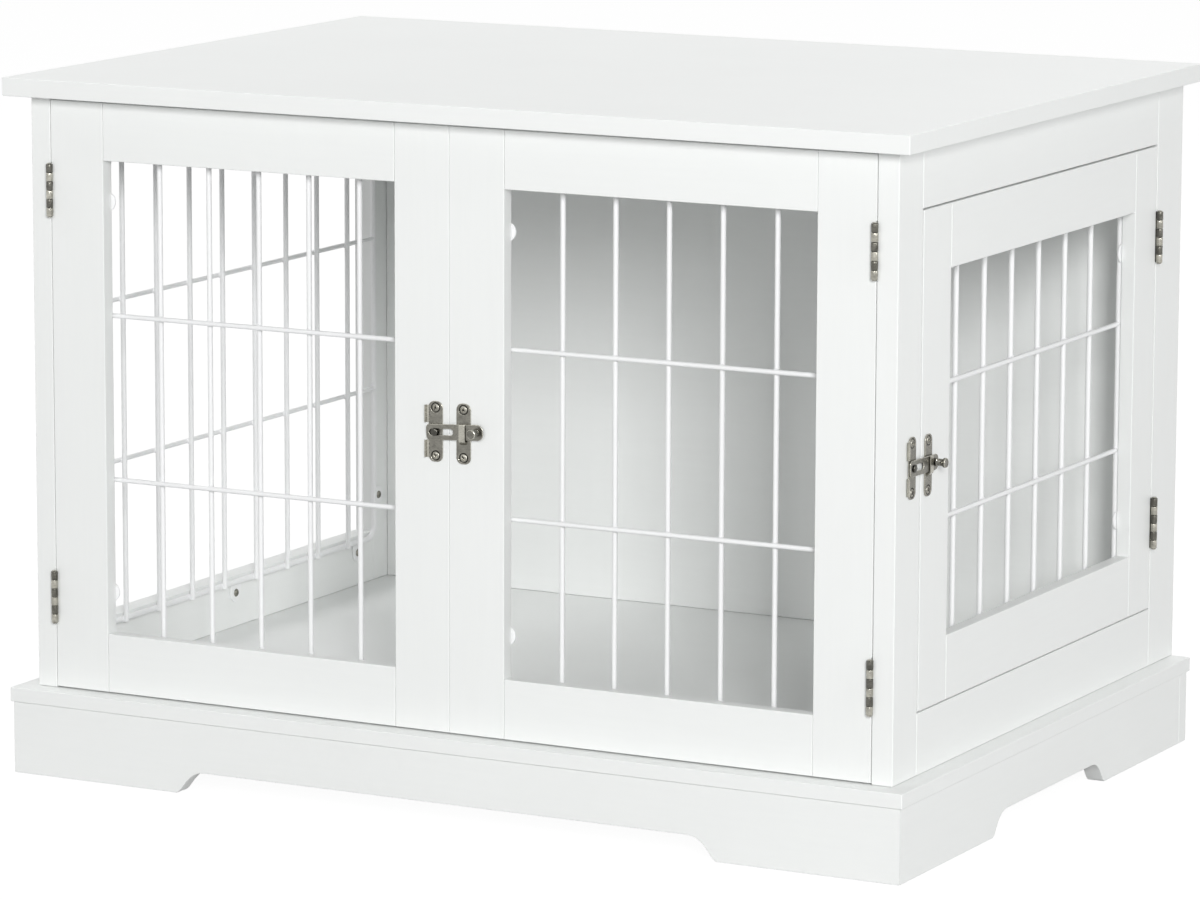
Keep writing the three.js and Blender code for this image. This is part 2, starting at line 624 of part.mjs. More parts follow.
function latchKnob() {
  const foot = BAR_FACE + SEAT_GAP;
  const shoulder = foot + KNOB.collarHeight;
  const top = BAR_FACE + KNOB.height;
  const throat = top - KNOB.headHeight;
  const profile = [[0, BAR_BACK], [KNOB.stem, BAR_BACK], [KNOB.stem, foot], [KNOB.collar, foot],
    [KNOB.collar, shoulder], [KNOB.waist, shoulder + KNOB.flare], [KNOB.waist, throat - KNOB.flare],
    [KNOB.head, throat], [KNOB.head, top - KNOB.edge], [KNOB.head - KNOB.edge, top], [0, top]];
  const geometry = turned(profile, -1);
  geometry.translate(KNOB_OFFSET, 0, 0);
  return solid(geometry);
}

/** Keeper plate with the strap that the bar drops behind; the bar rests on the strap's foot. */
function latchKeeper() {
  const root = PLATE_FACE - PLATE.thickness / 2;
  const out = STRAP_BACK + STRAP.thickness;
  const seat = STRAP_SEAT - LATCH_PLAY;
  const section = new THREE.Shape();
  section.moveTo(root, seat - STRAP.slope);
  section.lineTo(STRAP_BACK, seat);
  section.lineTo(STRAP_BACK, STRAP.top);
  section.lineTo(out, STRAP.top);
  section.lineTo(out, seat - STRAP.bend);
  section.lineTo(root, seat - STRAP.foot);
  section.closePath();
  const geometry = new THREE.ExtrudeGeometry(section, { depth: STRAP.width, bevelEnabled: false });
  geometry.translate(0, 0, -STRAP.width / 2);
  // the section's X points out from the face and its Y points up
  geometry.rotateX(QUARTER);
  geometry.rotateZ(-QUARTER);
  return joined([...screwPlate(), solid(geometry)]);
}

/** Latch with its rivet on the face at the origin and its bar towards +X. */
function latch(name, spec) {
  // the bar rests on the strap's foot, so it lies a little out of level
  const rise = spec.keeperRise + STRAP.seat;
  const tilt = Math.asin(rise / spec.keeperDistance);
  const swinging = new THREE.Group();
  swinging.rotation.y = -tilt;
  swinging.add(piece(`${name}_bar`, nickel, latchBar()));
  swinging.add(piece(`${name}_knob`, brightNickel, latchKnob()));
  const keeper = piece(`${name}_keeper`, nickel, latchKeeper());
  keeper.position.set(spec.keeperDistance, 0, spec.keeperRise);
  return [
    piece(`${name}_bar_plate`, nickel, barPlate()),
    piece(`${name}_rivet`, brightNickel, latchRivet()),
    swinging,
    keeper,
  ];
}

// ---------------------------------------------------------------- the table

const table = new THREE.Group();
table.add(...carcass(), ...plinth(), leftSideGrille());
table.add(...frontDoors(), sideDoor());
table.add(placed(latch("front_latch", FRONT_LATCH), -FRONT_LATCH.offset, FRONT,
  MID_HEIGHT + FRONT_LATCH.level));
table.add(placed(latch("side_latch", SIDE_LATCH), SIDE, FRONT + SIDE_LATCH.offset,
  MID_HEIGHT + SIDE_LATCH.level, QUARTER));

export default table;
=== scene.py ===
"""Dog crate end table: white painted boards, welded wire grilles, nickel hinges and latches.

Metres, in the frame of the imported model: X along the front, +Y to the back, +Z up.
"""

import json
import math

import bmesh
import bpy
from mathutils import Matrix, Vector


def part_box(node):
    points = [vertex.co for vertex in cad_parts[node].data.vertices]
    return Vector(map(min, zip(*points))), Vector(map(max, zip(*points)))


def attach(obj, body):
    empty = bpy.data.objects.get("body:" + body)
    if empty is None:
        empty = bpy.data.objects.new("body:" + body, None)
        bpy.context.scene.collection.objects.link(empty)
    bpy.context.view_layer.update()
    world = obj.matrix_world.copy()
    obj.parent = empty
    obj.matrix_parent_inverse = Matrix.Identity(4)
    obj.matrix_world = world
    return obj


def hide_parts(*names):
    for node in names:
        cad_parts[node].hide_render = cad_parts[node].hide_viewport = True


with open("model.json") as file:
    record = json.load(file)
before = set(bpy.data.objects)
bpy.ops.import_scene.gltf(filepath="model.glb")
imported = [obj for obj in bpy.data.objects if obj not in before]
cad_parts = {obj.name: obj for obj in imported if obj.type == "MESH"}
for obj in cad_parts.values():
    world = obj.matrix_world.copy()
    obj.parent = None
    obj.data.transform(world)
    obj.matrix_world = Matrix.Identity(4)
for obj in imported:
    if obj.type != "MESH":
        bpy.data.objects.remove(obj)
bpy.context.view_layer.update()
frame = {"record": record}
BODY_OF = {
    node: body
    for body, nodes in frame["record"]["behaviour"]["bodies"].items()
    for node in nodes
}
SLOT_OF = {row["node"]: row["material_slot"] for row in frame["record"]["subparts"]}

MM = 0.001
QUARTER = math.pi / 2
STEEP = 0.6  # angle between two faces from which their edge is sharp, in radians

# ------------------------------------------------------------------ sizes, millimetres

FRONT = -272.0  # front face of the doors
SIDE = 388.5  # outer face of the side frames
INNER = 370.6  # inner face of the side frames
SEAT_GAP = 0.2  # between a piece and the face that it lies on

SKIRT = {"x": 403.0, "y": 288.0, "thickness": 15.0, "height": 59.8, "easing": 0.5}
MITRE_GAP = 0.1
FOOT_RISE = 18.8  # height of a plinth board's cut-out
FOOT_CURVE = 27.0  # run of the curve from a foot to the top of the cut-out
FOOT_HEEL = (7.0, 3.0)  # the curve's handle at the floor, along and up
FOOT_CREST = 17.0  # the curve's handle at the top, along
CURVE_STEPS = 20
FRONT_FOOT = 157.0  # from the end of a plinth board to its cut-out
SIDE_FOOT = 175.5

EASING = 0.7  # rounded edge of a board
EASING_STEPS = 3
SPLIT_LIP = 0.42  # how far each front door reaches into the split
HINGE_LIP = 1.0  # how far a front door reaches into its hinge gap, but for the hinges
SIDE_LIP = {"top": 0.8, "bottom": 1.2}  # how far the side door reaches into those gaps

RING = {"radius": 2.5, "corner": 12.0}
COLUMN_RADIUS = 2.2
ROW_RADIUS = 2.0
WELD = 0.35  # how far welded bars sink into each other
OVERRUN = 1.5  # how far an upright bar passes the ring's middle
TAB = {"radius": 8.0, "reach": 10.0, "thickness": 1.5, "easing": 0.3, "hole": 2.4}

HINGE = {"length": 44.5, "knuckles": 6, "gap": 0.3, "outer": 2.8, "bore": 1.5, "rim": 0.35}
HINGE_PROUD = 3.1  # hinge axis in front of the door's face
FRONT_HINGE_X = 369.8
SIDE_HINGE_Y = 236.0
PIN = {"radius": 1.2, "head": 2.0, "height": 0.6, "easing": 0.2}
LEAF = {
    "near": 0.1, "far": 0.6, "start": 3.3, "end": 14.1, "easing": 0.15, "screws": 9.2,
    "inset": 6, "well": 1.9, "neck": 2.2,
}

PLATE = {
    "width": 12.8, "height": 48.6, "thickness": 1.0, "corner": 5.2, "easing": 0.42,
    "screws": 19.2, "sink": 4.15, "well": 0.85,
}
LIP = {"z": (7.1, 20.9), "x": -9.2, "wall": 1.2, "proud": 3.1}
BAR = {"tail": 7.45, "length": 51.0, "height": 12.6, "back": 1.9, "face": 3.1, "easing": 0.5}
SLOT = {"start": -4.85, "end": 16.85, "radius": 2.55}
KNOB_X = 37.8
STRAP = {"width": 5.6, "back": 3.4, "face": 4.3, "top": 7.6, "seat": -5.15, "rest": -4.85}

# cross-head screws: head radius, dome height, and the cross's length, width and depth
TAB_SCREW = (3.5, 1.8, 3.8, 0.95, 1.0)
LEAF_SCREW = (1.8, 0.3, 2.2, 0.5, 0.22)
PLATE_SCREW = (3.2, 1.05, 4.2, 1.0, 0.9)


# ------------------------------------------------------------------ node trees


def place(tree, kind, inputs=None, **settings):
    """Adds a node, with its settings, its plain values and its links."""
    node = tree.nodes.new(kind)
    for key, value in settings.items():
        setattr(node, key, value)
    for key, value in (inputs or {}).items():
        if isinstance(value, bpy.types.NodeSocket):
            tree.links.new(value, node.inputs[key])
        else:
            node.inputs[key].default_value = value
    return node


def made(tree, kind, inputs=None, **settings):
    """First output of a new node."""
    return place(tree, kind, inputs, **settings).outputs[0]


def cleared_tree(owner):
    """Empty node tree of a material or a world."""
    owner.use_nodes = True
    owner.node_tree.nodes.clear()
    return owner.node_tree


def named_inputs(tree, sockets):
    """Gives a node group its inputs, each a name, a kind and a default."""
    for label, kind, default in sockets:
        socket = tree.interface.new_socket(
            label, in_out="INPUT", socket_type=f"NodeSocket{kind}"
        )
        if default is not None:
            socket.default_value = default
    return tree.nodes.new("NodeGroupInput").outputs


def geometry_tree(name, sockets):
    tree = bpy.data.node_groups.new(name, "GeometryNodeTree")
    given = named_inputs(tree, sockets)
    tree.interface.new_socket("Geometry", in_out="OUTPUT", socket_type="NodeSocketGeometry")
    return tree, given


def finished(tree, geometry, coat, sharp=STEEP):
    """Ends a geometry tree: real mesh, smooth but for its sharp edges, with its finish."""
    real = made(tree, "GeometryNodeRealizeInstances", {"Geometry": geometry})
    smooth = made(tree, "GeometryNodeSetShadeSmooth", {"Geometry": real}, domain="FACE")
    angle = place(tree, "GeometryNodeInputMeshEdgeAngle")
    steep = made(
        tree, "FunctionNodeCompare", {0: angle.outputs["Unsigned Angle"], 1: sharp},
        data_type="FLOAT", operation="GREATER_THAN",
    )
    creased = made(
        tree, "GeometryNodeSetShadeSmooth",
        {"Geometry": smooth, "Selection": steep, "Shade Smooth": False},
        domain="EDGE",
    )
    painted = made(tree, "GeometryNodeSetMaterial", {"Geometry": creased, "Material": coat})
    place(tree, "NodeGroupOutput", {0: painted})


def calculate(tree, operation, *values):
    """Math node on two values or sockets."""
    return made(tree, "ShaderNodeMath", dict(enumerate(values)), operation=operation)


def vector(tree, x, y, z):
    return made(tree, "ShaderNodeCombineXYZ", {0: x, 1: y, 2: z})


def moved(tree, geometry, translation=(0, 0, 0), rotation=(0, 0, 0), scale=(1, 1, 1)):
    return made(
        tree, "GeometryNodeTransform",
        {
            "Geometry": geometry, "Translation": translation, "Rotation": rotation,
            "Scale": scale,
        },
    )


def in_a_row(tree, geometry, count, start, offset):
    """Copies in a row, the first at start and each next one offset further."""
    line = made(
        tree, "GeometryNodeMeshLine",
        {"Count": count, "Start Location": start, "Offset": offset}, mode="OFFSET",
    )
    return made(tree, "GeometryNodeInstanceOnPoints", {"Points": line, "Instance": geometry})


def round_bar(tree, radius, length, rotation=(0, 0, 0)):
    bar = made(
        tree, "GeometryNodeMeshCylinder", {"Vertices": 16, "Radius": radius, "Depth": length}
    )
    return moved(tree, bar, rotation=rotation)


def wire_grille_tree():
    """Ring of wire with welded upright and level bars, in the XZ plane, out towards +Y."""
    tree, given = geometry_tree(
        "wire_grille",
        [
            ("Width", "Float", 0.28),
            ("Height", "Float", 0.4),
            ("Columns", "Int", 5),
            ("Rows", "Int", 2),
            ("Ring Wire", "Float", 0.0025),
            ("Ring Corner", "Float", 0.012),
            ("Column Wire", "Float", 0.0022),
            ("Row Wire", "Float", 0.002),
            ("Overrun", "Float", 0.0015),
            ("Weld", "Float", 0.00035),
            ("Finish", "Material", None),
        ],
    )
    width, height = given["Width"], given["Height"]
    columns, rows = given["Columns"], given["Rows"]
    outline = made(
        tree, "GeometryNodeCurvePrimitiveQuadrilateral", {"Width": width, "Height": height}
    )
    cornered = made(
        tree, "GeometryNodeFilletCurve",
        {"Curve": outline, "Count": 8, "Radius": given["Ring Corner"]}, mode="POLY",
    )
    section = made(
        tree, "GeometryNodeCurvePrimitiveCircle",
        {"Resolution": 16, "Radius": given["Ring Wire"]},
    )
    ring = made(tree, "GeometryNodeCurveToMesh", {"Curve": cornered, "Profile Curve": section})
    upright_ring = moved(tree, ring, rotation=(QUARTER, 0, 0))

    # upright bars stand in front of the ring and the level bars, sunk into them by the weld
    reach = calculate(tree, "ADD", given["Column Wire"], given["Row Wire"])
    out = calculate(tree, "SUBTRACT", reach, given["Weld"])
    pitch = calculate(tree, "DIVIDE", width, calculate(tree, "ADD", columns, 1.0))
    first = calculate(tree, "SUBTRACT", pitch, calculate(tree, "MULTIPLY", width, 0.5))
    bar_length = calculate(
        tree, "ADD", height, calculate(tree, "MULTIPLY", given["Overrun"], 2.0)
    )
    column_bars = in_a_row(
        tree, round_bar(tree, given["Column Wire"], bar_length), columns,
        vector(tree, first, out, 0.0), vector(tree, pitch, 0.0, 0.0),
    )

    step = calculate(tree, "DIVIDE", height, calculate(tree, "ADD", rows, 1.0))
    lowest = calculate(tree, "SUBTRACT", step, calculate(tree, "MULTIPLY", height, 0.5))
    row_bars = in_a_row(
        tree, round_bar(tree, given["Row Wire"], width, (0, QUARTER, 0)), rows,
        vector(tree, 0.0, 0.0, lowest), vector(tree, 0.0, 0.0, step),
    )

    # a small bead of weld where an upright bar crosses a level one or the ring
    across = calculate(tree, "MULTIPLY", pitch, calculate(tree, "SUBTRACT", columns, 1.0))
    crossings = made(
        tree,
        "GeometryNodeMeshGrid",
        {
            "Size X": across, "Size Y": height, "Vertices X": columns,
            "Vertices Y": calculate(tree, "ADD", rows, 2.0),
        },
    )
    contact = calculate(tree, "SUBTRACT", given["Row Wire"], given["Weld"])
    bead = made(
        tree, "GeometryNodeMeshUVSphere",
        {"Segments": 12, "Rings": 8, "Radius": given["Row Wire"]},
    )
    beads = made(
        tree,
        "GeometryNodeInstanceOnPoints",
        {
            "Points": moved(
                tree, crossings, translation=vector(tree, 0.0, contact, 0.0),
                rotation=(QUARTER, 0, 0),
            ),
            "Instance": bead,
            "Scale": (1.32, 0.7, 1.32),
        },
    )
    whole = place(tree, "GeometryNodeJoinGeometry")
    for geometry in (upright_ring, column_bars, row_bars, beads):
        tree.links.new(geometry, whole.inputs[0])
    finished(tree, whole.outputs[0], given["Finish"])
    return tree


def crosshead_screw_tree():
    """Domed cross-head screw on every point, its axis turned by the point's own rotation."""
    tree, given = geometry_tree(
        "crosshead_screws",
        [
            ("Points", "Geometry", None),
            ("Head Radius", "Float", 0.0035),
            ("Dome Height", "Float", 0.0018),
            ("Recess Length", "Float", 0.0036),
            ("Recess Width", "Float", 0.0009),
            ("Recess Depth", "Float", 0.0009),
            ("Finish", "Material", None),
        ],
    )
    radius, rise = given["Head Radius"], given["Dome Height"]
    ball = made(tree, "GeometryNodeMeshUVSphere", {"Segments": 28, "Rings": 18, "Radius": 1.0})
    dome = moved(tree, ball, scale=vector(tree, radius, radius, rise))
    thickness = calculate(tree, "MULTIPLY", given["Recess Depth"], 2.0)
    arm = made(
        tree, "GeometryNodeMeshCube",
        {"Size": vector(tree, given["Recess Length"], given["Recess Width"], thickness)},
    )
    tip = vector(tree, 0.0, 0.0, rise)
    wide = calculate(tree, "MULTIPLY", radius, 3.0)
    deep = calculate(tree, "MULTIPLY", rise, 3.0)
    below = made(tree, "GeometryNodeMeshCube", {"Size": vector(tree, wide, wide, deep)})
    sunk = vector(tree, 0.0, 0.0, calculate(tree, "MULTIPLY", rise, -1.5))
    cut = place(tree, "GeometryNodeMeshBoolean", {"Mesh 1": dome}, operation="DIFFERENCE")
    for tool in (
        moved(tree, arm, translation=tip),
        moved(tree, arm, translation=tip, rotation=(0, 0, QUARTER)),
        moved(tree, below, translation=sunk),
    ):
        tree.links.new(tool, cut.inputs["Mesh 2"])
    turn = made(
        tree, "GeometryNodeInputNamedAttribute", {"Name": "turn"}, data_type="FLOAT_VECTOR"
    )
    heads = made(
        tree,
        "GeometryNodeInstanceOnPoints",
        {"Points": given["Points"], "Instance": cut.outputs[0], "Rotation": turn},
    )
    finished(tree, heads, given["Finish"], sharp=0.5)
    return tree


def knuckle_tree():
    """Row of hinge knuckles along Z, short tubes with rounded rims."""
    tree, given = geometry_tree(
        "hinge_knuckles",
        [
            ("Count", "Int", 3),
            ("First", "Float", -0.018),
            ("Spacing", "Float", 0.0143),
            ("Length", "Float", 0.0068),
            ("Outer Radius", "Float", 0.0028),
            ("Bore Radius", "Float", 0.0015),
            ("Rim", "Float", 0.00035),
            ("Finish", "Material", None),
        ],
    )
    wall = calculate(tree, "SUBTRACT", given["Outer Radius"], given["Bore Radius"])
    middle = calculate(
        tree, "MULTIPLY", calculate(tree, "ADD", given["Outer Radius"], given["Bore Radius"]),
        0.5,
    )
    path = made(tree, "GeometryNodeCurvePrimitiveCircle", {"Resolution": 36, "Radius": middle})
    section = made(
        tree, "GeometryNodeCurvePrimitiveQuadrilateral",
        {"Width": wall, "Height": given["Length"]},
    )
    eased = made(
        tree, "GeometryNodeFilletCurve",
        {"Curve": section, "Count": 3, "Radius": given["Rim"]}, mode="POLY",
    )
    tube = made(tree, "GeometryNodeCurveToMesh", {"Curve": path, "Profile Curve": eased})
    row = in_a_row(
        tree, tube, given["Count"], vector(tree, 0.0, 0.0, given["First"]),
        vector(tree, 0.0, 0.0, given["Spacing"]),
    )
    finished(tree, row, given["Finish"])
    return tree


# ------------------------------------------------------------------ finishes


def finish_group(name, sockets):
    """Node group of a finish, which puts out a colour, a roughness and a normal."""
    group = bpy.data.node_groups.new(name, "ShaderNodeTree")
    given = named_inputs(group, sockets)
    for label, kind in (("Colour", "Color"), ("Roughness", "Float"), ("Normal", "Vector")):
        group.interface.new_socket(label, in_out="OUTPUT", socket_type=f"NodeSocket{kind}")
    return group, given


def stretched(tree, coordinates, stretch):
    return made(
        tree, "ShaderNodeVectorMath", {0: coordinates, 1: stretch}, operation="MULTIPLY"
    )


def relief(tree, height, depth):
    """Normal of a surface whose relief is depth metres high."""
    return made(tree, "ShaderNodeBump", {"Height": height, "Distance": depth, "Strength": 1.0})


def noise(tree, coordinates, scale, detail=2.0, roughness=0.5):
    return place(
        tree, "ShaderNodeTexNoise",
        {"Vector": coordinates, "Scale": scale, "Detail": detail, "Roughness": roughness},
    ).outputs["Fac"]


def ranged(tree, value, low, high, start=0.0, end=1.0):
    """Maps a mask from start..end onto low..high."""
    return made(
        tree, "ShaderNodeMapRange",
        {"Value": value, "From Min": start, "From Max": end, "To Min": low, "To Max": high},
    )


def tinted(tree, colour, value):
    """Colour multiplied by a grey value."""
    return place(
        tree, "ShaderNodeMix", {"Factor": 1.0, 6: colour, 7: value}, data_type="RGBA",
        blend_type="MULTIPLY",
    ).outputs[2]


def satin_paint_group():
    """Satin paint on smooth board: cloudy tone, faint grain underneath, fine roller texture."""
    group, given = finish_group(
        "satin_paint",
        [
            ("Coordinates", "Vector", None),
            ("Colour", "Color", (0.8, 0.8, 0.8, 1)),
            ("Grain Stretch", "Vector", (1.0, 1.0, 1.0)),
            ("Tone Change", "Float", 0.02),
            ("Roughness", "Float", 0.42),
            ("Texture Depth", "Float", 0.00004),
        ],
    )
    where = given["Coordinates"]
    cloud = noise(group, where, 7.0, 3.0)
    grain = noise(group, stretched(group, where, given["Grain Stretch"]), 260.0, 4.0, 0.6)
    stipple = noise(group, where, 1100.0, 2.0)
    change = given["Tone Change"]
    darkest_cloud = calculate(group, "SUBTRACT", 1.0, change)
    cloudy = ranged(group, cloud, darkest_cloud, 1.0, 0.3, 0.7)
    grain_change = calculate(group, "MULTIPLY", change, 0.6)
    darkest_grain = calculate(group, "SUBTRACT", 1.0, grain_change)
    grainy = ranged(group, grain, darkest_grain, 1.0, 0.35, 0.65)
    tone = calculate(group, "MULTIPLY", cloudy, grainy)
    colour = tinted(group, given["Colour"], tone)
    rough = calculate(
        group, "ADD", given["Roughness"], ranged(group, stipple, -0.05, 0.05, 0.3, 0.7)
    )
    height = calculate(group, "ADD", stipple, calculate(group, "MULTIPLY", grain, 0.8))
    normal = relief(group, height, given["Texture Depth"])
    place(group, "NodeGroupOutput", {"Colour": colour, "Roughness": rough, "Normal": normal})
    return group


def nickel_plating_group():
    """Nickel plate: cloudy tone, fine streaks from rolling, tiny pits."""
    group, given = finish_group(
        "nickel_plating",
        [
            ("Coordinates", "Vector", None),
            ("Light Tone", "Color", (0.4, 0.4, 0.38, 1)),
            ("Dark Tone", "Color", (0.15, 0.15, 0.13, 1)),
            ("Streak Stretch", "Vector", (1.0, 1.0, 8.0)),
            ("Roughness", "Float", 0.3),
            ("Texture Depth", "Float", 0.00004),
        ],
    )
    where = given["Coordinates"]
    cloud = noise(group, where, 190.0, 3.0, 0.6)
    streaks = noise(group, stretched(group, where, given["Streak Stretch"]), 420.0, 3.0, 0.65)
    pits = noise(group, where, 1900.0, 2.0, 0.5)
    share = calculate(
        group, "ADD", ranged(group, cloud, 0.0, 0.6, 0.3, 0.7),
        ranged(group, streaks, 0.0, 0.4, 0.35, 0.65),
    )
    colour = place(
        group, "ShaderNodeMix",
        {"Factor": share, 6: given["Dark Tone"], 7: given["Light Tone"]}, data_type="RGBA",
    ).outputs[2]
    rough = calculate(
        group, "ADD", given["Roughness"], ranged(group, streaks, -0.06, 0.08, 0.3, 0.7)
    )
    height = calculate(group, "ADD", pits, calculate(group, "MULTIPLY", streaks, 0.7))
    normal = relief(group, height, given["Texture Depth"])
    place(group, "NodeGroupOutput", {"Colour": colour, "Roughness": rough, "Normal": normal})
    return group


def finish(name, group, values, metallic=0.0):
    """Material whose colour, roughness and normal come from a finish group."""
    material = bpy.data.materials.new(name)
    tree = cleared_tree(material)
    where = place(tree, "ShaderNodeTexCoord").outputs["Object"]
    maker = tree.nodes.new("ShaderNodeGroup")
    maker.node_tree = group
    tree.links.new(where, maker.inputs["Coordinates"])
    for key, value in values.items():
        maker.inputs[key].default_value = value
    shader = made(
        tree,
        "ShaderNodeBsdfPrincipled",
        {
            "Base Color": maker.outputs["Colour"], "Roughness": maker.outputs["Roughness"],
            "Normal": maker.outputs["Normal"], "Metallic": metallic,
        },
    )
    place(tree, "ShaderNodeOutputMaterial", {"Surface": shader})
    material.diffuse_color = tuple(values.get("Colour", values.get("Light Tone")))
    return material


SATIN_PAINT = satin_paint_group()
NICKEL_PLATING = nickel_plating_group()
WHITE = (0.855, 0.869, 0.859, 1)
BOARD_PAINT = {
    "Colour": WHITE, "Tone Change": 0.014, "Roughness": 0.42, "Texture Depth": 0.00002,
}
GRAIN = {
    axis: finish(
        f"satin_white_grain_{axis}", SATIN_PAINT, {**BOARD_PAINT, "Grain Stretch": stretch}
    )
    for axis, stretch in (("x", (0.06, 1, 1)), ("y", (1, 0.06, 1)), ("z", (1, 1, 0.06)))
}
POWDER_COAT = finish(
    "white_powder_coat",
    SATIN_PAINT,
    {
        "Colour": (0.88, 0.885, 0.89, 1), "Tone Change": 0.015, "Roughness": 0.34,
        "Texture Depth": 0.00002,
    },
)


def nickel(name, light, dark, roughness, depth=0.00003):
    """Metal between two linear grey tones, a little warm."""
    warm = (1.0, 0.97, 0.85)
    return finish(
        name,
        NICKEL_PLATING,
        {
            "Light Tone": (*(light * part for part in warm), 1),
            "Dark Tone": (*(dark * part for part in warm), 1), "Roughness": roughness,
            "Texture Depth": depth,
        },
        metallic=1.0,
    )


NICKEL = nickel("satin_nickel", 0.27, 0.13, 0.3)
# lighter copy of the satin nickel, a painted highlight: on the rims of the plates and the bar,
# on the lips, on the strap's front, top and back, and on the knob's cap edge
HIGHLIGHT_NICKEL = nickel("satin_nickel_painted_highlight", 0.52, 0.3, 0.24)
SATIN_PAIR = (NICKEL, HIGHLIGHT_NICKEL)
# the hinges' two nickels are a lit and a shaded copy of one metal: the fixed leaves and pins
# are light, a painted highlight, and the door leaves are dark, painted shade
HINGE_NICKEL = nickel("hinge_nickel", 0.55, 0.22, 0.18)
SHADED_HINGE_NICKEL = nickel("hinge_nickel_painted_shade", 0.2, 0.06, 0.22)
STRAP_NICKEL = nickel("strap_nickel", 0.5, 0.2, 0.28)
KNOB_NICKEL = nickel("knob_nickel", 0.26, 0.08, 0.14, 0.00001)
RIVET_NICKEL = nickel("rivet_nickel", 0.12, 0.035, 0.12, 0.00001)
SCREW_ZINC = nickel("screw_zinc", 0.4, 0.18, 0.3)
# near-black nickel lining the countersunk wells: painted shade in the recesses
PAINTED_SHADE_NICKEL = nickel("painted_shade_nickel", 0.07, 0.02, 0.3)


# ------------------------------------------------------------------ meshes


def loose_object(name, data):
    item = bpy.data.objects.new(name, data)
    bpy.context.scene.collection.objects.link(item)
    return item


def plain_mesh(worker):
    """The worker's finished shape as a plain mesh; the worker itself is removed."""
    graph = bpy.context.evaluated_depsgraph_get()
    mesh = bpy.data.meshes.new_from_object(worker.evaluated_get(graph))
    bpy.data.objects.remove(worker)
    return mesh


def mesh_from(build, name):
    """Mesh of a bmesh, its normals outwards and its flat faces ruling the shading."""
    bmesh.ops.recalc_face_normals(build, faces=build.faces)
    for face in build.faces:
        face.smooth = True
    mesh = bpy.data.meshes.new(name)
    build.to_mesh(mesh)
    build.free()
    worker = loose_object("worker", mesh)
    worker.modifiers.new("flat_faces_rule", "WEIGHTED_NORMAL").keep_sharp = True
    return plain_mesh(worker)


def grown(tree, name, points=None, **values):
    """Plain mesh that a geometry tree makes, from its named inputs."""
    start = points if points is not None else bpy.data.meshes.new(name)
    worker = loose_object("worker", start)
    maker = worker.modifiers.new("maker", "NODES")
    maker.node_group = tree
    for socket in tree.interface.items_tree:
        if socket.in_out == "INPUT" and socket.name in values:
            maker[socket.identifier] = values[socket.name]
    mesh = plain_mesh(worker)
    mesh.name = name
    return mesh


def points_mesh(name, places):
    """Points with a turn each; places are (position, turn), in metres and radians."""
    mesh = bpy.data.meshes.new(name)
    mesh.from_pydata([position for position, _ in places], [], [])
    turns = mesh.attributes.new("turn", "FLOAT_VECTOR", "POINT")
    for item, (_, turn) in zip(turns.data, places):
        item.vector = turn
    return mesh


def joined_mesh(name, *meshes):
    """One mesh of several, keeping their materials."""
    workers = [loose_object("worker", mesh) for mesh in meshes]
    with bpy.context.temp_override(
        active_object=workers[0], object=workers[0], selected_editable_objects=workers,
        selected_objects=workers,
    ):
        bpy.ops.object.join()
    whole = workers[0].data
    bpy.data.objects.remove(workers[0])
    whole.name = name
    return whole


def seated(name, mesh, body, slot, *nodes, material=None):
    """Finished piece on its body, standing for its CAD nodes."""
    if material is not None and not mesh.materials:
        mesh.materials.append(material)
    piece = loose_object(name, mesh)
    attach(piece, body)
    if nodes:
        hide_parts(*nodes)
    return piece


def at(x, y, z, turn=0.0):
    """Place of a group of pieces: millimetres, and a turn about Z."""
    return Matrix.Translation(Vector((x, y, z)) * MM) @ Matrix.Rotation(turn, 4, "Z")


def moved_mesh(mesh, matrix):
    mesh.transform(matrix)
    return mesh


def lathe(profile, steps):
    """Closed solid turned about Z from (radius, height) pairs in millimetres."""
    build = bmesh.new()
    turns = [2 * math.pi * step / steps for step in range(steps)]
    rings = []
    for radius, height in profile:
        r, z = radius * MM, height * MM
        places = [(r * math.cos(a), r * math.sin(a), z) for a in turns] if r else [(0, 0, z)]
        rings.append([build.verts.new(place) for place in places])
    closed = profile[0][0] != 0
    pairs = list(zip(rings, rings[1:] + rings[:1])) if closed else list(zip(rings, rings[1:]))
    for lower, upper in pairs:
        for step in range(steps):
            after = (step + 1) % steps
            if len(lower) == 1:
                corners = [lower[0], upper[after], upper[step]]
            elif len(upper) == 1:
                corners = [lower[step], lower[after], upper[0]]
            else:
                corners = [lower[step], lower[after], upper[after], upper[step]]
            build.faces.new(corners)
    return build


def sharpened(mesh):
    """Smooth shading with creases at the steep edges."""
    mesh.shade_smooth()
    build = bmesh.new()
    build.from_mesh(mesh)
    for edge in build.edges:
        if len(edge.link_faces) == 2 and edge.calc_face_angle() > STEEP:
            edge.smooth = False
    build.to_mesh(mesh)
    build.free()
    return mesh


def turned(name, profile, metal, matrix=Matrix(), steps=48):
    """Lathed piece of one metal, moved from its axis Z by a matrix."""
    mesh = moved_mesh(mesh_from(lathe(profile, steps), name), matrix)
    mesh.materials.append(metal)
    return sharpened(mesh)


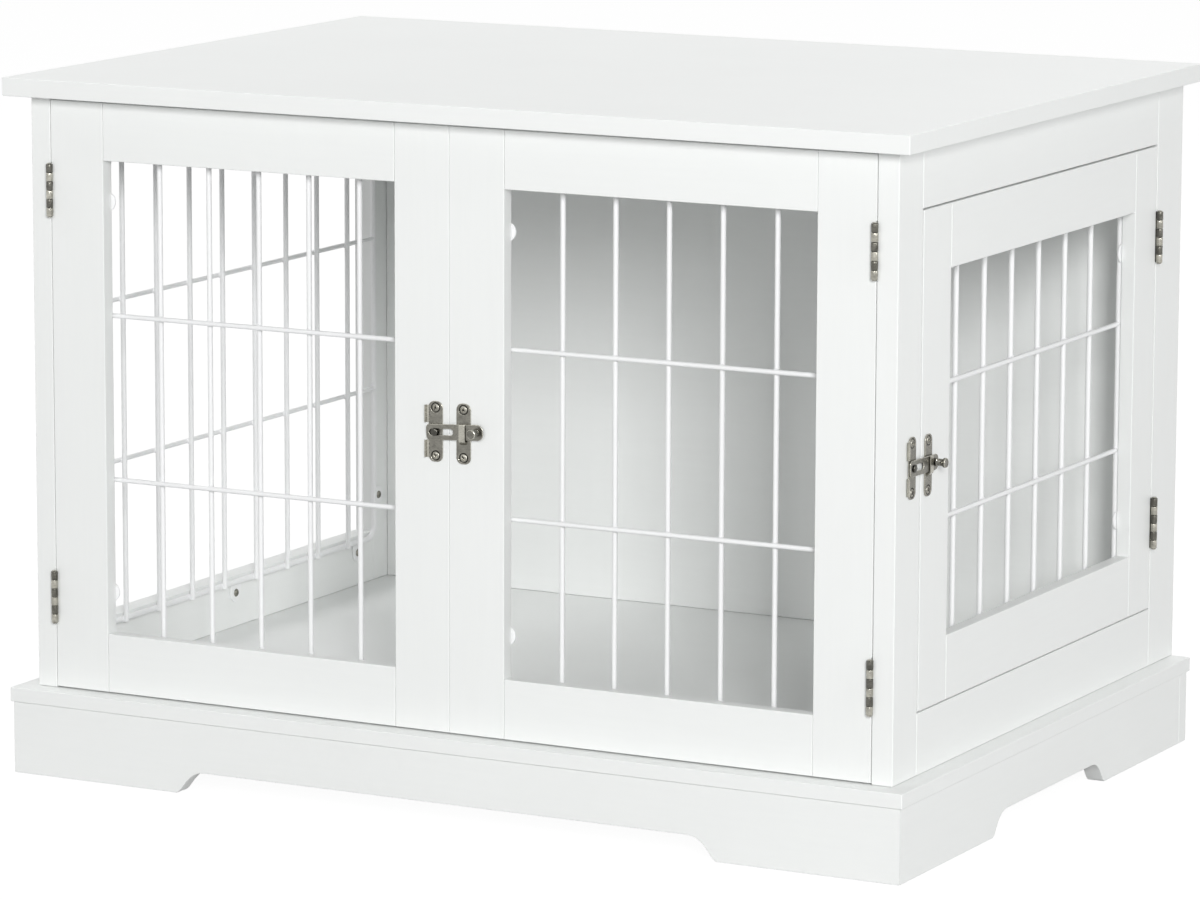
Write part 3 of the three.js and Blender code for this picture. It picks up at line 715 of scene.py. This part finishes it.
def eased_plate(outline, holes, low, high, easing, finishes):
    """Plate with rounded rims, from an outline in X and Z; low and high are out from y = 0.

    Its finishes are for its faces and its rims.
    """
    curve = bpy.data.curves.new("plate", "CURVE")
    curve.dimensions = "2D"
    curve.fill_mode = "BOTH"
    for ring in [outline, *holes]:
        spline = curve.splines.new("POLY")
        spline.points.add(len(ring) - 1)
        for point, (x, z) in zip(spline.points, ring):
            point.co = (x * MM, z * MM, 0, 1)
        spline.use_cyclic_u = True
    curve.extrude = ((high - low) / 2 - easing) * MM
    curve.bevel_depth = easing * MM
    curve.bevel_resolution = 3
    curve.offset = -easing * MM
    worker = loose_object("worker", curve)
    mesh = plain_mesh(worker)
    build = bmesh.new()
    build.from_mesh(mesh)
    bmesh.ops.remove_doubles(build, verts=build.verts, dist=0.002 * MM)
    bmesh.ops.rotate(
        build, verts=build.verts, cent=(0, 0, 0), matrix=Matrix.Rotation(QUARTER, 3, "X")
    )
    bmesh.ops.translate(build, verts=build.verts, vec=(0, -(low + high) / 2 * MM, 0))
    bmesh.ops.recalc_face_normals(build, faces=build.faces)
    for face in build.faces:
        face.material_index = 0 if abs(face.normal.y) > 0.98 else 1
    plate = mesh_from(build, "plate")
    for material in finishes:
        plate.materials.append(material)
    return plate


def eased_block(name, outline, levels, easing, steps):
    """Block with rounded edges, from an outline in X and Z and two levels of Y, in metres."""
    build = bmesh.new()
    near, far = ([build.verts.new((x, y, z)) for x, z in outline] for y in levels)
    build.faces.new(near)
    build.faces.new(far[::-1])
    for i in range(len(outline)):
        build.faces.new([near[i - 1], near[i], far[i], far[i - 1]])
    bmesh.ops.bevel(
        build, geom=build.edges[:], offset=easing * MM, segments=steps, profile=0.5,
        affect="EDGES", clamp_overlap=True,
    )
    return mesh_from(build, name)


def rectangle(x0, x1, z0, z1):
    return [(x0, z0), (x1, z0), (x1, z1), (x0, z1)]


def arc(x, z, radius, start, end, steps=10):
    return [
        (
            x + radius * math.cos(start + (end - start) * step / steps),
            z + radius * math.sin(start + (end - start) * step / steps),
        )
        for step in range(steps + 1)
    ]


def rounded(x0, x1, z0, z1, radius, end_radius=None):
    """Rounded rectangle; end_radius is for the corners at x1."""
    far = radius if end_radius is None else end_radius
    return (
        arc(x1 - far, z1 - far, far, 0, QUARTER)
        + arc(x0 + radius, z1 - radius, radius, QUARTER, 2 * QUARTER)
        + arc(x0 + radius, z0 + radius, radius, 2 * QUARTER, 3 * QUARTER)
        + arc(x1 - far, z0 + far, far, 3 * QUARTER, 4 * QUARTER)
    )


def circle(x, z, radius, steps=32):
    return arc(x, z, radius, 0, 4 * QUARTER, steps)[:-1]


# ------------------------------------------------------------------ boards


def longest_axis(low, high):
    size = high - low
    return "xyz"[max(range(3), key=lambda i: size[i])]


def hinge_height(label):
    low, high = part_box(f"{label}_pin")
    return (low.z + high.z) / 2 / MM


def mortised_outline(low, high, door, side):
    """Outline in X and Z of a hinge stile, its edge cut back where the leaves lie."""
    edge = {-1: low.x, 1: high.x}[side]
    reach = edge + side * HINGE_LIP * MM
    far = {-1: high.x, 1: low.x}[side]
    half = (HINGE["length"] / 2 + 0.3) * MM
    outline = [(far, low.z), (reach, low.z)]
    for level in ("lower", "upper"):
        middle = hinge_height(f"{door}_{level}_hinge") * MM
        outline += [
            (reach, middle - half), (edge, middle - half), (edge, middle + half),
            (reach, middle + half),
        ]
    return outline + [(reach, high.z), (far, high.z)]


def board_outline(node, low, high):
    """Outline in X and Z of a board; the doors reach a little into their gaps."""
    for door, outside in (("left_door", -1), ("right_door", 1)):
        if node == f"{door}_hinge_stile":
            return mortised_outline(low, high, door, outside)
        if node == f"{door}_latch_stile":
            x = [low.x, high.x]
            x[(1 - outside) // 2] -= outside * SPLIT_LIP * MM
            return rectangle(*x, low.z, high.z)
    bottom, top = low.z, high.z
    if node.startswith("side_door") and node != "side_door_top_rail":
        bottom -= SIDE_LIP["bottom"] * MM
    if node.startswith("side_door") and node != "side_door_bottom_rail":
        top += SIDE_LIP["top"] * MM
    return rectangle(low.x, high.x, bottom, top)


def board(node):
    """Board with eased edges, painted, in the place of its CAD node."""
    low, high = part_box(node)
    outline = board_outline(node, low, high)
    mesh = eased_block(node, outline, (low.y, high.y), EASING, EASING_STEPS)
    seated(
        f"{node}_board", mesh, BODY_OF[node], SLOT_OF[node], node,
        material=GRAIN[longest_axis(low, high)],
    )


def bezier(start, first, second, end, steps):
    points = []
    for step in range(steps + 1):
        t = step / steps
        weights = ((1 - t) ** 3, 3 * t * (1 - t) ** 2, 3 * t * t * (1 - t), t**3)
        points.append(
            tuple(
                sum(w * p[i] for w, p in zip(weights, (start, first, second, end)))
                for i in range(2)
            )
        )
    return points


def skirt(node, length, foot, place_matrix, mitred, trimmed, grain):
    """Plinth board with a shaped cut-out; mitred and trimmed say which of its ends are cut."""
    half = length / 2
    heel, top = half - foot, half - foot - FOOT_CURVE
    run, rise = FOOT_HEEL
    curve = bezier(
        (-heel, 0), (run - heel, rise), (-top - FOOT_CREST, FOOT_RISE), (-top, FOOT_RISE),
        CURVE_STEPS,
    )
    outline = (
        [(-half, 0)]
        + curve
        + [(-x, z) for x, z in reversed(curve)]
        + [(half, 0), (half, SKIRT["height"]), (-half, SKIRT["height"])]
    )
    thick = SKIRT["thickness"]
    build = bmesh.new()
    faces = []
    for y in (-thick / 2, thick / 2):
        ring = []
        for x, z in outline:
            for sign in (-1, 1):
                if sign * x == half and sign in mitred:
                    x = sign * (half - MITRE_GAP - (thick / 2 + y))
                elif sign * x == half and sign in trimmed:
                    x = sign * (half - thick - SEAT_GAP)
            ring.append(build.verts.new((x * MM, y * MM, z * MM)))
        faces.append(ring)
    count = len(outline)
    build.faces.new(faces[0])
    build.faces.new(faces[1][::-1])
    for i in range(count):
        after = (i + 1) % count
        build.faces.new([faces[0][after], faces[0][i], faces[1][i], faces[1][after]])
    bmesh.ops.recalc_face_normals(build, faces=build.faces)
    edges = [edge for edge in build.edges if edge.calc_face_angle() > STEEP]
    bmesh.ops.bevel(
        build, geom=edges, offset=SKIRT["easing"] * MM, segments=2, profile=0.5,
        affect="EDGES", clamp_overlap=True,
    )
    mesh = moved_mesh(mesh_from(build, node), place_matrix)
    seated(f"{node}_board", mesh, BODY_OF[node], SLOT_OF[node], node, material=GRAIN[grain])


PLAIN_BOARDS = ["tabletop", "base_plate", "back_panel"] + [
    f"{side}_{part}"
    for side in ("left", "right")
    for part in ("front_post", "rear_post", "top_rail", "bottom_rail")
] + [
    f"{door}_{part}"
    for door in ("left_door", "right_door", "side_door")
    for part in ("hinge_stile", "latch_stile", "top_rail", "bottom_rail")
]
for board_node in PLAIN_BOARDS:
    board(board_node)

MIDDLE = SKIRT["thickness"] / 2
for node, place_y, mitred in (
    ("front_skirt", MIDDLE - SKIRT["y"], (-1, 1)), ("rear_skirt", SKIRT["y"] - MIDDLE, ())
):
    skirt(node, 2 * SKIRT["x"], FRONT_FOOT, at(0, place_y, 0), mitred, (), "x")
for node, sign in (("left_skirt", -1), ("right_skirt", 1)):
    skirt(
        node, 2 * SKIRT["y"], SIDE_FOOT, at(sign * (SKIRT["x"] - MIDDLE), 0, 0, sign * QUARTER),
        (-sign,), (sign,), "y",
    )


# ------------------------------------------------------------------ grilles

WIRE_GRILLE = wire_grille_tree()
CROSSHEAD_SCREWS = crosshead_screw_tree()


def screw_heads(name, places, sizes):
    """Cross-head screws at (position, turn) places; their sizes are in millimetres."""
    labels = ("Head Radius", "Dome Height", "Recess Length", "Recess Width", "Recess Depth")
    return grown(
        CROSSHEAD_SCREWS, name, points_mesh("screw_points", places), Finish=SCREW_ZINC,
        **{label: size * MM for label, size in zip(labels, sizes)},
    )


def tab_mesh(tail):
    """Tab that reaches out towards +X, flat on the wood at y = 0."""
    outline = arc(TAB["reach"], 0, TAB["radius"], -QUARTER, QUARTER, 16)
    if tail:
        outline += arc(0, 0, TAB["radius"], QUARTER, 3 * QUARTER, 16)
    else:
        outline += [(0, TAB["radius"]), (0, -TAB["radius"])]
    hole = circle(TAB["reach"], 0, TAB["hole"], 24)
    return eased_plate(
        outline, [hole], -TAB["thickness"], 0, TAB["easing"], (POWDER_COAT, POWDER_COAT)
    )


def grille(node, width, height, columns, tab_inset, corner_inset, tail, where):
    """Welded wire grille on its tabs, with the screws that hold it.

    The insets are from the ring's corners to the tabs at its sides, and to those above and
    below; without a corner inset there is one in the middle. A tail rounds a tab's inner end.
    """
    ring_y = SEAT_GAP + RING["radius"]
    wires = grown(
        WIRE_GRILLE, f"{node}_wires", Width=width * MM, Height=height * MM,
        Columns=columns, Rows=2,
        **{
            "Ring Wire": RING["radius"] * MM, "Ring Corner": RING["corner"] * MM,
            "Column Wire": COLUMN_RADIUS * MM, "Row Wire": ROW_RADIUS * MM,
            "Overrun": OVERRUN * MM, "Weld": WELD * MM, "Finish": POWDER_COAT,
        },
    )
    moved_mesh(wires, at(0, ring_y, 0))
    tabs = []
    for level in (height / 2 - tab_inset, tab_inset - height / 2):
        tabs += [(0.0, width / 2, level), (math.pi, -width / 2, level)]
    corner = width / 2 - corner_inset if corner_inset else 0
    for x in (-corner, 0, corner) if corner_inset else (0,):
        tabs += [(-QUARTER, x, height / 2), (QUARTER, x, -height / 2)]
    meshes, screws = [wires], []
    for turn, x, z in tabs:
        strip = tab_mesh(tail)
        spot = Matrix.Translation(Vector((x, SEAT_GAP, z)) * MM) @ Matrix.Rotation(turn, 4, "Y")
        meshes.append(moved_mesh(strip, spot))
        head = spot @ Vector((TAB["reach"] * MM, (TAB["thickness"] - 0.1) * MM, 0))
        screws.append((head, (-QUARTER, 0.5 + 0.9 * len(screws), 0)))
    body = BODY_OF[node]
    whole = joined_mesh(f"{node}_wires", *meshes)
    seated(f"{node}_wires", moved_mesh(whole, where), body, "wire", node)
    heads = screw_heads(f"{node}_screws", screws, TAB_SCREW)
    seated(f"{node}_screws", moved_mesh(heads, where), body, "bright_nickel")


grille(
    "left_side_grille", width=475, height=406.8, columns=8, tab_inset=37, corner_inset=27.5,
    tail=False, where=at(-INNER, 9.5, 315.8, -QUARTER),
)
for name, sign in (("left_door", -1), ("right_door", 1)):
    grille(
        f"{name}_grille", width=279.7, height=406.7, columns=5, tab_inset=42, corner_inset=0,
        tail=True, where=at(sign * 184.85, FRONT + 12, 315.85),
    )
grille(
    "side_door_grille", width=372.3, height=318.2, columns=6, tab_inset=47, corner_inset=0,
    tail=True, where=at(SIDE - 12, 7.95, 315.2, QUARTER),
)

# ------------------------------------------------------------------ hinges

KNUCKLES = knuckle_tree()


def hinge_leaf(side, first, metal):
    """Knuckles and leaf of one half of a hinge about Z; side is where the leaf stands."""
    barrel = HINGE["length"] - 2 * (PIN["height"] + HINGE["gap"])
    pitch = (barrel + HINGE["gap"]) / HINGE["knuckles"]
    length = pitch - HINGE["gap"]
    lowest = -barrel / 2 + first * pitch + length / 2
    tubes = grown(
        KNUCKLES, "knuckles", Count=HINGE["knuckles"] // 2, First=lowest * MM,
        Spacing=2 * pitch * MM, Length=length * MM, Rim=HINGE["rim"] * MM, Finish=metal,
        **{"Outer Radius": HINGE["outer"] * MM, "Bore Radius": HINGE["bore"] * MM},
    )
    # the leaf is drawn in X and Z and lies in the gap, so its thickness runs along X
    outline = rounded(LEAF["start"], LEAF["end"], -barrel / 2, barrel / 2, 0.3, 1.2)
    levels = (-barrel / 2 + LEAF["inset"], 0, barrel / 2 - LEAF["inset"])
    wells = [circle(LEAF["screws"], z, LEAF["well"], 24) for z in levels]
    leaf = eased_plate(
        outline, wells, LEAF["near"], LEAF["far"], LEAF["easing"], (metal, metal)
    )
    leaf.transform(Matrix.Rotation(QUARTER, 4, "Z"))
    if side < 0:
        leaf.transform(Matrix.Scale(-1, 4, (1, 0, 0)))
        leaf.flip_normals()
    necks = []
    for knuckle in range(first, HINGE["knuckles"], 2):
        low = -barrel / 2 + knuckle * pitch
        x = sorted(side * LEAF[edge] * MM for edge in ("near", "far"))
        outline = rectangle(*x, low * MM, (low + length) * MM)
        ends = (LEAF["neck"] * MM, (LEAF["start"] + 0.8) * MM)
        necks.append(eased_block("neck", outline, ends, 0.12, 2))
        necks[-1].materials.append(metal)
    face = side * (LEAF["near"] + 0.35) * MM
    screws = [((face, LEAF["screws"] * MM, z * MM), (0, -side * QUARTER, 0.3)) for z in levels]
    heads = screw_heads("leaf_screws", screws, LEAF_SCREW)
    return joined_mesh("leaf", tubes, leaf, *necks, heads)


def hinge_pin():
    """Pin of a hinge, with a head at each end."""
    end, neck = HINGE["length"] / 2, HINGE["length"] / 2 - PIN["height"]
    head, radius, edge = PIN["head"], PIN["radius"], PIN["easing"]
    profile = [
        (0, -end), (head - edge, -end), (head, -end + edge), (head, -neck), (radius, -neck),
        (radius, neck), (head, neck), (head, end - edge), (head - edge, end), (0, end),
    ]
    return turned("pin", profile, HINGE_NICKEL, steps=32)


def hinge(label, towards, where):
    """Hinge about Z; towards is the side of it where its door is."""
    # fixed leaf and pin in the lighter hinge nickel, a painted highlight; door leaf in the
    # darker copy, painted shade
    for part, mesh in (
        ("fixed_leaf", hinge_leaf(-towards, 0, HINGE_NICKEL)),
        ("door_leaf", hinge_leaf(towards, 1, SHADED_HINGE_NICKEL)),
        ("pin", hinge_pin()),
    ):
        node = f"{label}_{part}"
        seated(f"{node}_plated", moved_mesh(mesh, where), BODY_OF[node], "nickel", node)


for level in ("upper", "lower"):
    for name, towards in (("left_door", 1), ("right_door", -1)):
        label = f"{name}_{level}_hinge"
        x = -towards * FRONT_HINGE_X
        hinge(label, towards, at(x, FRONT - HINGE_PROUD, hinge_height(label)))
    label = f"side_door_{level}_hinge"
    hinge(label, -1, at(SIDE + HINGE_PROUD, SIDE_HINGE_Y, hinge_height(label), QUARTER))

# ------------------------------------------------------------------ latches

PLATE_FACE = SEAT_GAP + PLATE["thickness"]
OUT = Matrix.Rotation(QUARTER, 4, "X")  # turns a lathed piece so that it rises towards -Y


def screw_plate():
    """Latch plate with two countersunk holes and the screws in them."""
    half_width, half_height = PLATE["width"] / 2, PLATE["height"] / 2
    outline = rounded(-half_width, half_width, -half_height, half_height, PLATE["corner"])
    levels = (PLATE["screws"], -PLATE["screws"])
    holes = [circle(0, z, PLATE["sink"]) for z in levels]
    plate = eased_plate(outline, holes, SEAT_GAP, PLATE_FACE, PLATE["easing"], SATIN_PAIR)
    parts = [plate]
    # the countersunk wells are cones of near-black nickel, painted shade
    sink, well = PLATE["sink"] + 0.15, PLATE["well"]
    for z in levels:
        place_of_cone = Matrix.Translation((0, -(PLATE_FACE - 0.12) * MM, z * MM)) @ OUT
        profile = [(sink, 0), (2.2, -well), (sink, -well)]
        parts.append(turned("well", profile, PAINTED_SHADE_NICKEL, place_of_cone, 32))
    return parts, [(0, -(PLATE_FACE - 0.55) * MM, z * MM) for z in levels]


def plate_screws(name, spots, where, body):
    places = [(spot, (QUARTER, 0.35 + 0.8 * i, 0)) for i, spot in enumerate(spots)]
    heads = screw_heads(name, places, PLATE_SCREW)
    seated(name, moved_mesh(heads, where), body, "bright_nickel")


def bar_plate():
    """Plate under the pivot, with a bent lip above and below the bar's tail."""
    parts, screws = screw_plate()
    for sign in (1, -1):
        z0, z1 = sorted(sign * z for z in LIP["z"])
        # the lip's section: along the plate, then bent out from the wood
        x, wall, proud = LIP["x"], LIP["wall"], LIP["proud"]
        root = 1.0 - PLATE["width"] / 2
        section = (
            [(root, SEAT_GAP)]
            + arc(x + 1.2, SEAT_GAP + 1.2, 1.2, -QUARTER, -2 * QUARTER, 8)
            + [(x, proud - 0.3), (x + 0.3, proud), (x + wall - 0.3, proud)]
            + [(x + wall, proud - 0.3), (x + wall, PLATE_FACE + 0.25)]
            + [(x + wall + 0.25, PLATE_FACE), (root, PLATE_FACE)]
        )
        # drawn in X and out, swept up along Z; all of it in the lighter nickel, a painted
        # highlight
        lip = eased_plate(section, [], -z1, -z0, 0.12, (HIGHLIGHT_NICKEL, HIGHLIGHT_NICKEL))
        lip.transform(Matrix(((1, 0, 0, 0), (0, 0, -1, 0), (0, 1, 0, 0), (0, 0, 0, 1))))
        parts.append(lip)
    return joined_mesh("bar_plate", *parts), screws


def keeper():
    """Plate with the strap that the bar drops behind."""
    parts, screws = screw_plate()
    root, back, face = PLATE_FACE - 0.5, STRAP["back"], STRAP["face"]
    seat, top = STRAP["seat"], STRAP["top"]
    section = (
        [(root, seat - 1.4), (back - 0.8, seat - 0.3), (back - 0.2, seat), (back, seat + 0.6)]
        + [(back, top - 0.6), (back + 0.3, top), (face - 0.3, top), (face, top - 0.6)]
        + [(face, seat + 0.2), (face - 0.3, seat - 0.9), (root, seat - 4)]
    )
    # drawn out and up, swept across the strap's width; its sides in strap nickel, its front,
    # top and back in the lighter nickel, a painted highlight
    half = STRAP["width"] / 2
    strap = eased_plate(section, [], -half, half, 0.25, (STRAP_NICKEL, HIGHLIGHT_NICKEL))
    strap.transform(Matrix(((0, 1, 0, 0), (-1, 0, 0, 0), (0, 0, 1, 0), (0, 0, 0, 1))))
    return joined_mesh("keeper", *parts, strap), screws


def latch_rivet():
    profile = [
        (0, 0.5), (2.2, 0.5), (2.2, 1.4), (3.6, 1.4), (3.6, 1.7), (2.2, 1.7), (2.2, 3.4),
        (3.1, 3.4), (3.1, 3.7), (2.9, 4.05), (2.4, 4.3), (1.5, 4.45), (0, 4.5),
    ]
    return turned("rivet", profile, RIVET_NICKEL, OUT)


def latch_bar():
    half = BAR["height"] / 2
    outline = rounded(-BAR["tail"], BAR["length"] - BAR["tail"], -half, half, 3, 5)
    radius = SLOT["radius"]
    slot = (
        arc(SLOT["end"] - radius, 0, radius, -QUARTER, QUARTER, 14)
        + arc(SLOT["start"] + radius, 0, radius, QUARTER, 3 * QUARTER, 14)
    )
    return eased_plate(outline, [slot], BAR["back"], BAR["face"], BAR["easing"], SATIN_PAIR)


def latch_knob():
    profile = [
        (0, 1.9), (1.4, 1.9), (1.4, 3.3), (3.0, 3.3), (3.2, 3.5), (3.2, 4.5), (3.1, 4.7),
        (2.85, 4.8), (2.85, 9.6), (2.95, 9.9), (3.3, 10.2), (3.75, 10.35), (3.9, 10.6),
        (3.9, 11.9), (3.75, 12.35), (3.4, 12.6), (3.0, 12.7), (2.7, 12.55), (0, 12.55),
    ]
    build = lathe(profile, 48)
    # the cap's outer edge is in the lighter nickel, a painted highlight
    for face in build.faces:
        outer = max(corner.co.xy.length for corner in face.verts) > 3.5 * MM
        face.material_index = 1 if outer and face.calc_center_median().z > 12 * MM else 0
    mesh = mesh_from(build, "knob")
    mesh.transform(Matrix.Translation((KNOB_X * MM, 0, 0)) @ OUT)
    for metal in (KNOB_NICKEL, HIGHLIGHT_NICKEL):
        mesh.materials.append(metal)
    return sharpened(mesh)


def latch(name, distance, rise, where):
    """Slotted bar latch with its pivot at the origin and its bar towards +X.

    The keeper is at the given distance along X, and higher by the rise.
    """
    tilt = math.asin((rise + STRAP["rest"] + BAR["height"] / 2) / distance)
    swing = Matrix.Rotation(-tilt, 4, "Y")
    plate, plate_spots = bar_plate()
    catch, catch_spots = keeper()
    across = Matrix.Translation((distance * MM, 0, rise * MM))
    plate_body, catch_body = BODY_OF[f"{name}_bar_plate"], BODY_OF[f"{name}_keeper"]
    for part, mesh, matrix, slot in (
        ("bar_plate", plate, where, "nickel"),
        ("keeper", catch, where @ across, "nickel"),
        ("rivet", latch_rivet(), where, "bright_nickel"),
        ("bar", latch_bar(), where @ swing, "nickel"),
        ("knob", latch_knob(), where @ swing, "bright_nickel"),
    ):
        node = f"{name}_{part}"
        seated(f"{node}_plated", moved_mesh(mesh, matrix), BODY_OF[node], slot, node)
    plate_screws(f"{name}_bar_plate_screws", plate_spots, where, plate_body)
    plate_screws(f"{name}_keeper_screws", catch_spots, where @ across, catch_body)


latch("front_latch", distance=25.2, rise=0, where=at(-11.65, FRONT, 315.8))
latch("side_latch", distance=29.5, rise=-2, where=at(SIDE, FRONT + 27.1, 316.2, QUARTER))

# ------------------------------------------------------------------ floor, light and camera

FLOOR = {"tone": 0.56, "glow": 1.2, "glow_share": 0.8, "reach": 40.0, "drop": 0.0005}
WORLD_LIGHT = 0.22


def seen_directly(tree):
    """1 for what the camera sees, straight or in a reflection; 0 for the light it gives."""
    path = place(tree, "ShaderNodeLightPath")
    mirrored = calculate(
        tree, "MAXIMUM", path.outputs["Is Glossy Ray"], path.outputs["Is Transmission Ray"]
    )
    return calculate(tree, "MAXIMUM", path.outputs["Is Camera Ray"], mirrored)


def studio_floor():
    """Pale floor that the camera sees as white with the table's soft shadow on it."""
    material = bpy.data.materials.new("studio_floor")
    tree = cleared_tree(material)
    share = calculate(tree, "MULTIPLY", seen_directly(tree), FLOOR["glow_share"])
    where = place(tree, "ShaderNodeTexCoord").outputs["Object"]
    tone = ranged(tree, noise(tree, where, 3.0), FLOOR["tone"] - 0.02, FLOOR["tone"])
    diffuse = made(tree, "ShaderNodeBsdfDiffuse", {"Color": vector(tree, tone, tone, tone)})
    glow = made(tree, "ShaderNodeEmission", {"Color": (1, 1, 1, 1), "Strength": FLOOR["glow"]})
    mixed = made(tree, "ShaderNodeMixShader", {0: share, 1: diffuse, 2: glow})
    place(tree, "ShaderNodeOutputMaterial", {"Surface": mixed})
    mesh = bpy.data.meshes.new("studio_floor")
    reach = FLOOR["reach"]
    mesh.from_pydata(
        [(-reach, -reach, 0), (reach, -reach, 0), (reach, reach, 0), (-reach, reach, 0)],
        [], [(0, 1, 2, 3)],
    )
    mesh.materials.append(material)
    floor = loose_object("studio_floor", mesh)
    floor.location.z = -FLOOR["drop"]


def studio_world():
    world = bpy.data.worlds.new("studio")
    bpy.context.scene.world = world
    tree = cleared_tree(world)
    strength = ranged(tree, seen_directly(tree), WORLD_LIGHT, 1.0)
    glow = made(tree, "ShaderNodeBackground", {"Color": (1, 1, 1, 1), "Strength": strength})
    place(tree, "ShaderNodeOutputWorld", {"Surface": glow})


def direction(azimuth, elevation):
    """Unit vector from the table to a compass angle: 0 is the front, 90 the right side."""
    a, e = math.radians(azimuth), math.radians(elevation)
    return Vector((math.sin(a) * math.cos(e), -math.cos(a) * math.cos(e), math.sin(e)))


def soft_box(name, size, level, azimuth, elevation, distance=4.0):
    """Softbox that looks at the middle of the table from a compass angle.

    Its level is the share of a written colour that it gives a face turned towards it.
    """
    lamp = bpy.data.lights.new(name, "AREA")
    lamp.shape = "RECTANGLE"
    lamp.size, lamp.size_y = size
    lamp.energy = level * (math.pi * distance) ** 2
    holder = loose_object(name, lamp)
    back = direction(azimuth, elevation)
    holder.location = Vector((0, 0, 0.3)) + back * distance
    holder.rotation_mode = "QUATERNION"
    holder.rotation_quaternion = (-back).to_track_quat("-Z", "Y")


studio_floor()
studio_world()
soft_box("main_softbox", (1.3, 1.75), level=0.6, azimuth=35, elevation=17, distance=7.0)
soft_box("front_softbox", (2.2, 1.2), level=0.15, azimuth=-6, elevation=18)
soft_box("right_softbox", (1.6, 1.0), level=0.2, azimuth=86, elevation=13)
soft_box("left_softbox", (2.4, 2.0), level=0.33, azimuth=-90, elevation=47)
soft_box("back_softbox", (2.4, 2.4), level=0.27, azimuth=180, elevation=48)

# angles in degrees, place in millimetres, lens in pixels of a frame 1200 wide
CAMERA = {
    "azimuth": 27.742, "elevation": 9.885, "roll": 0.193, "place": (2235.8, -4267.1, 1099.7),
    "lens_pixels": 5885.0, "frame_width": 1200,
}


def photograph_camera():
    """Camera at the photograph's viewing angle."""
    data = bpy.data.cameras.new("photograph_camera")
    data.sensor_fit = "HORIZONTAL"
    data.sensor_width = 36
    data.lens = CAMERA["lens_pixels"] / CAMERA["frame_width"] * data.sensor_width
    data.clip_start, data.clip_end = 0.1, 200
    camera = loose_object("photograph_camera", data)
    roll = math.radians(CAMERA["roll"])
    back = direction(CAMERA["azimuth"], CAMERA["elevation"])
    right = (-back).cross(Vector((0, 0, 1))).normalized()
    up = right.cross(-back)
    turned_right = math.cos(roll) * right + math.sin(roll) * up
    turned_up = math.cos(roll) * up - math.sin(roll) * right
    axes = Matrix((turned_right, turned_up, back)).transposed()
    camera.matrix_world = Matrix.Translation(Vector(CAMERA["place"]) * MM) @ axes.to_4x4()
    bpy.context.scene.camera = camera


photograph_camera()
bpy.context.scene.view_settings.view_transform = "Standard"
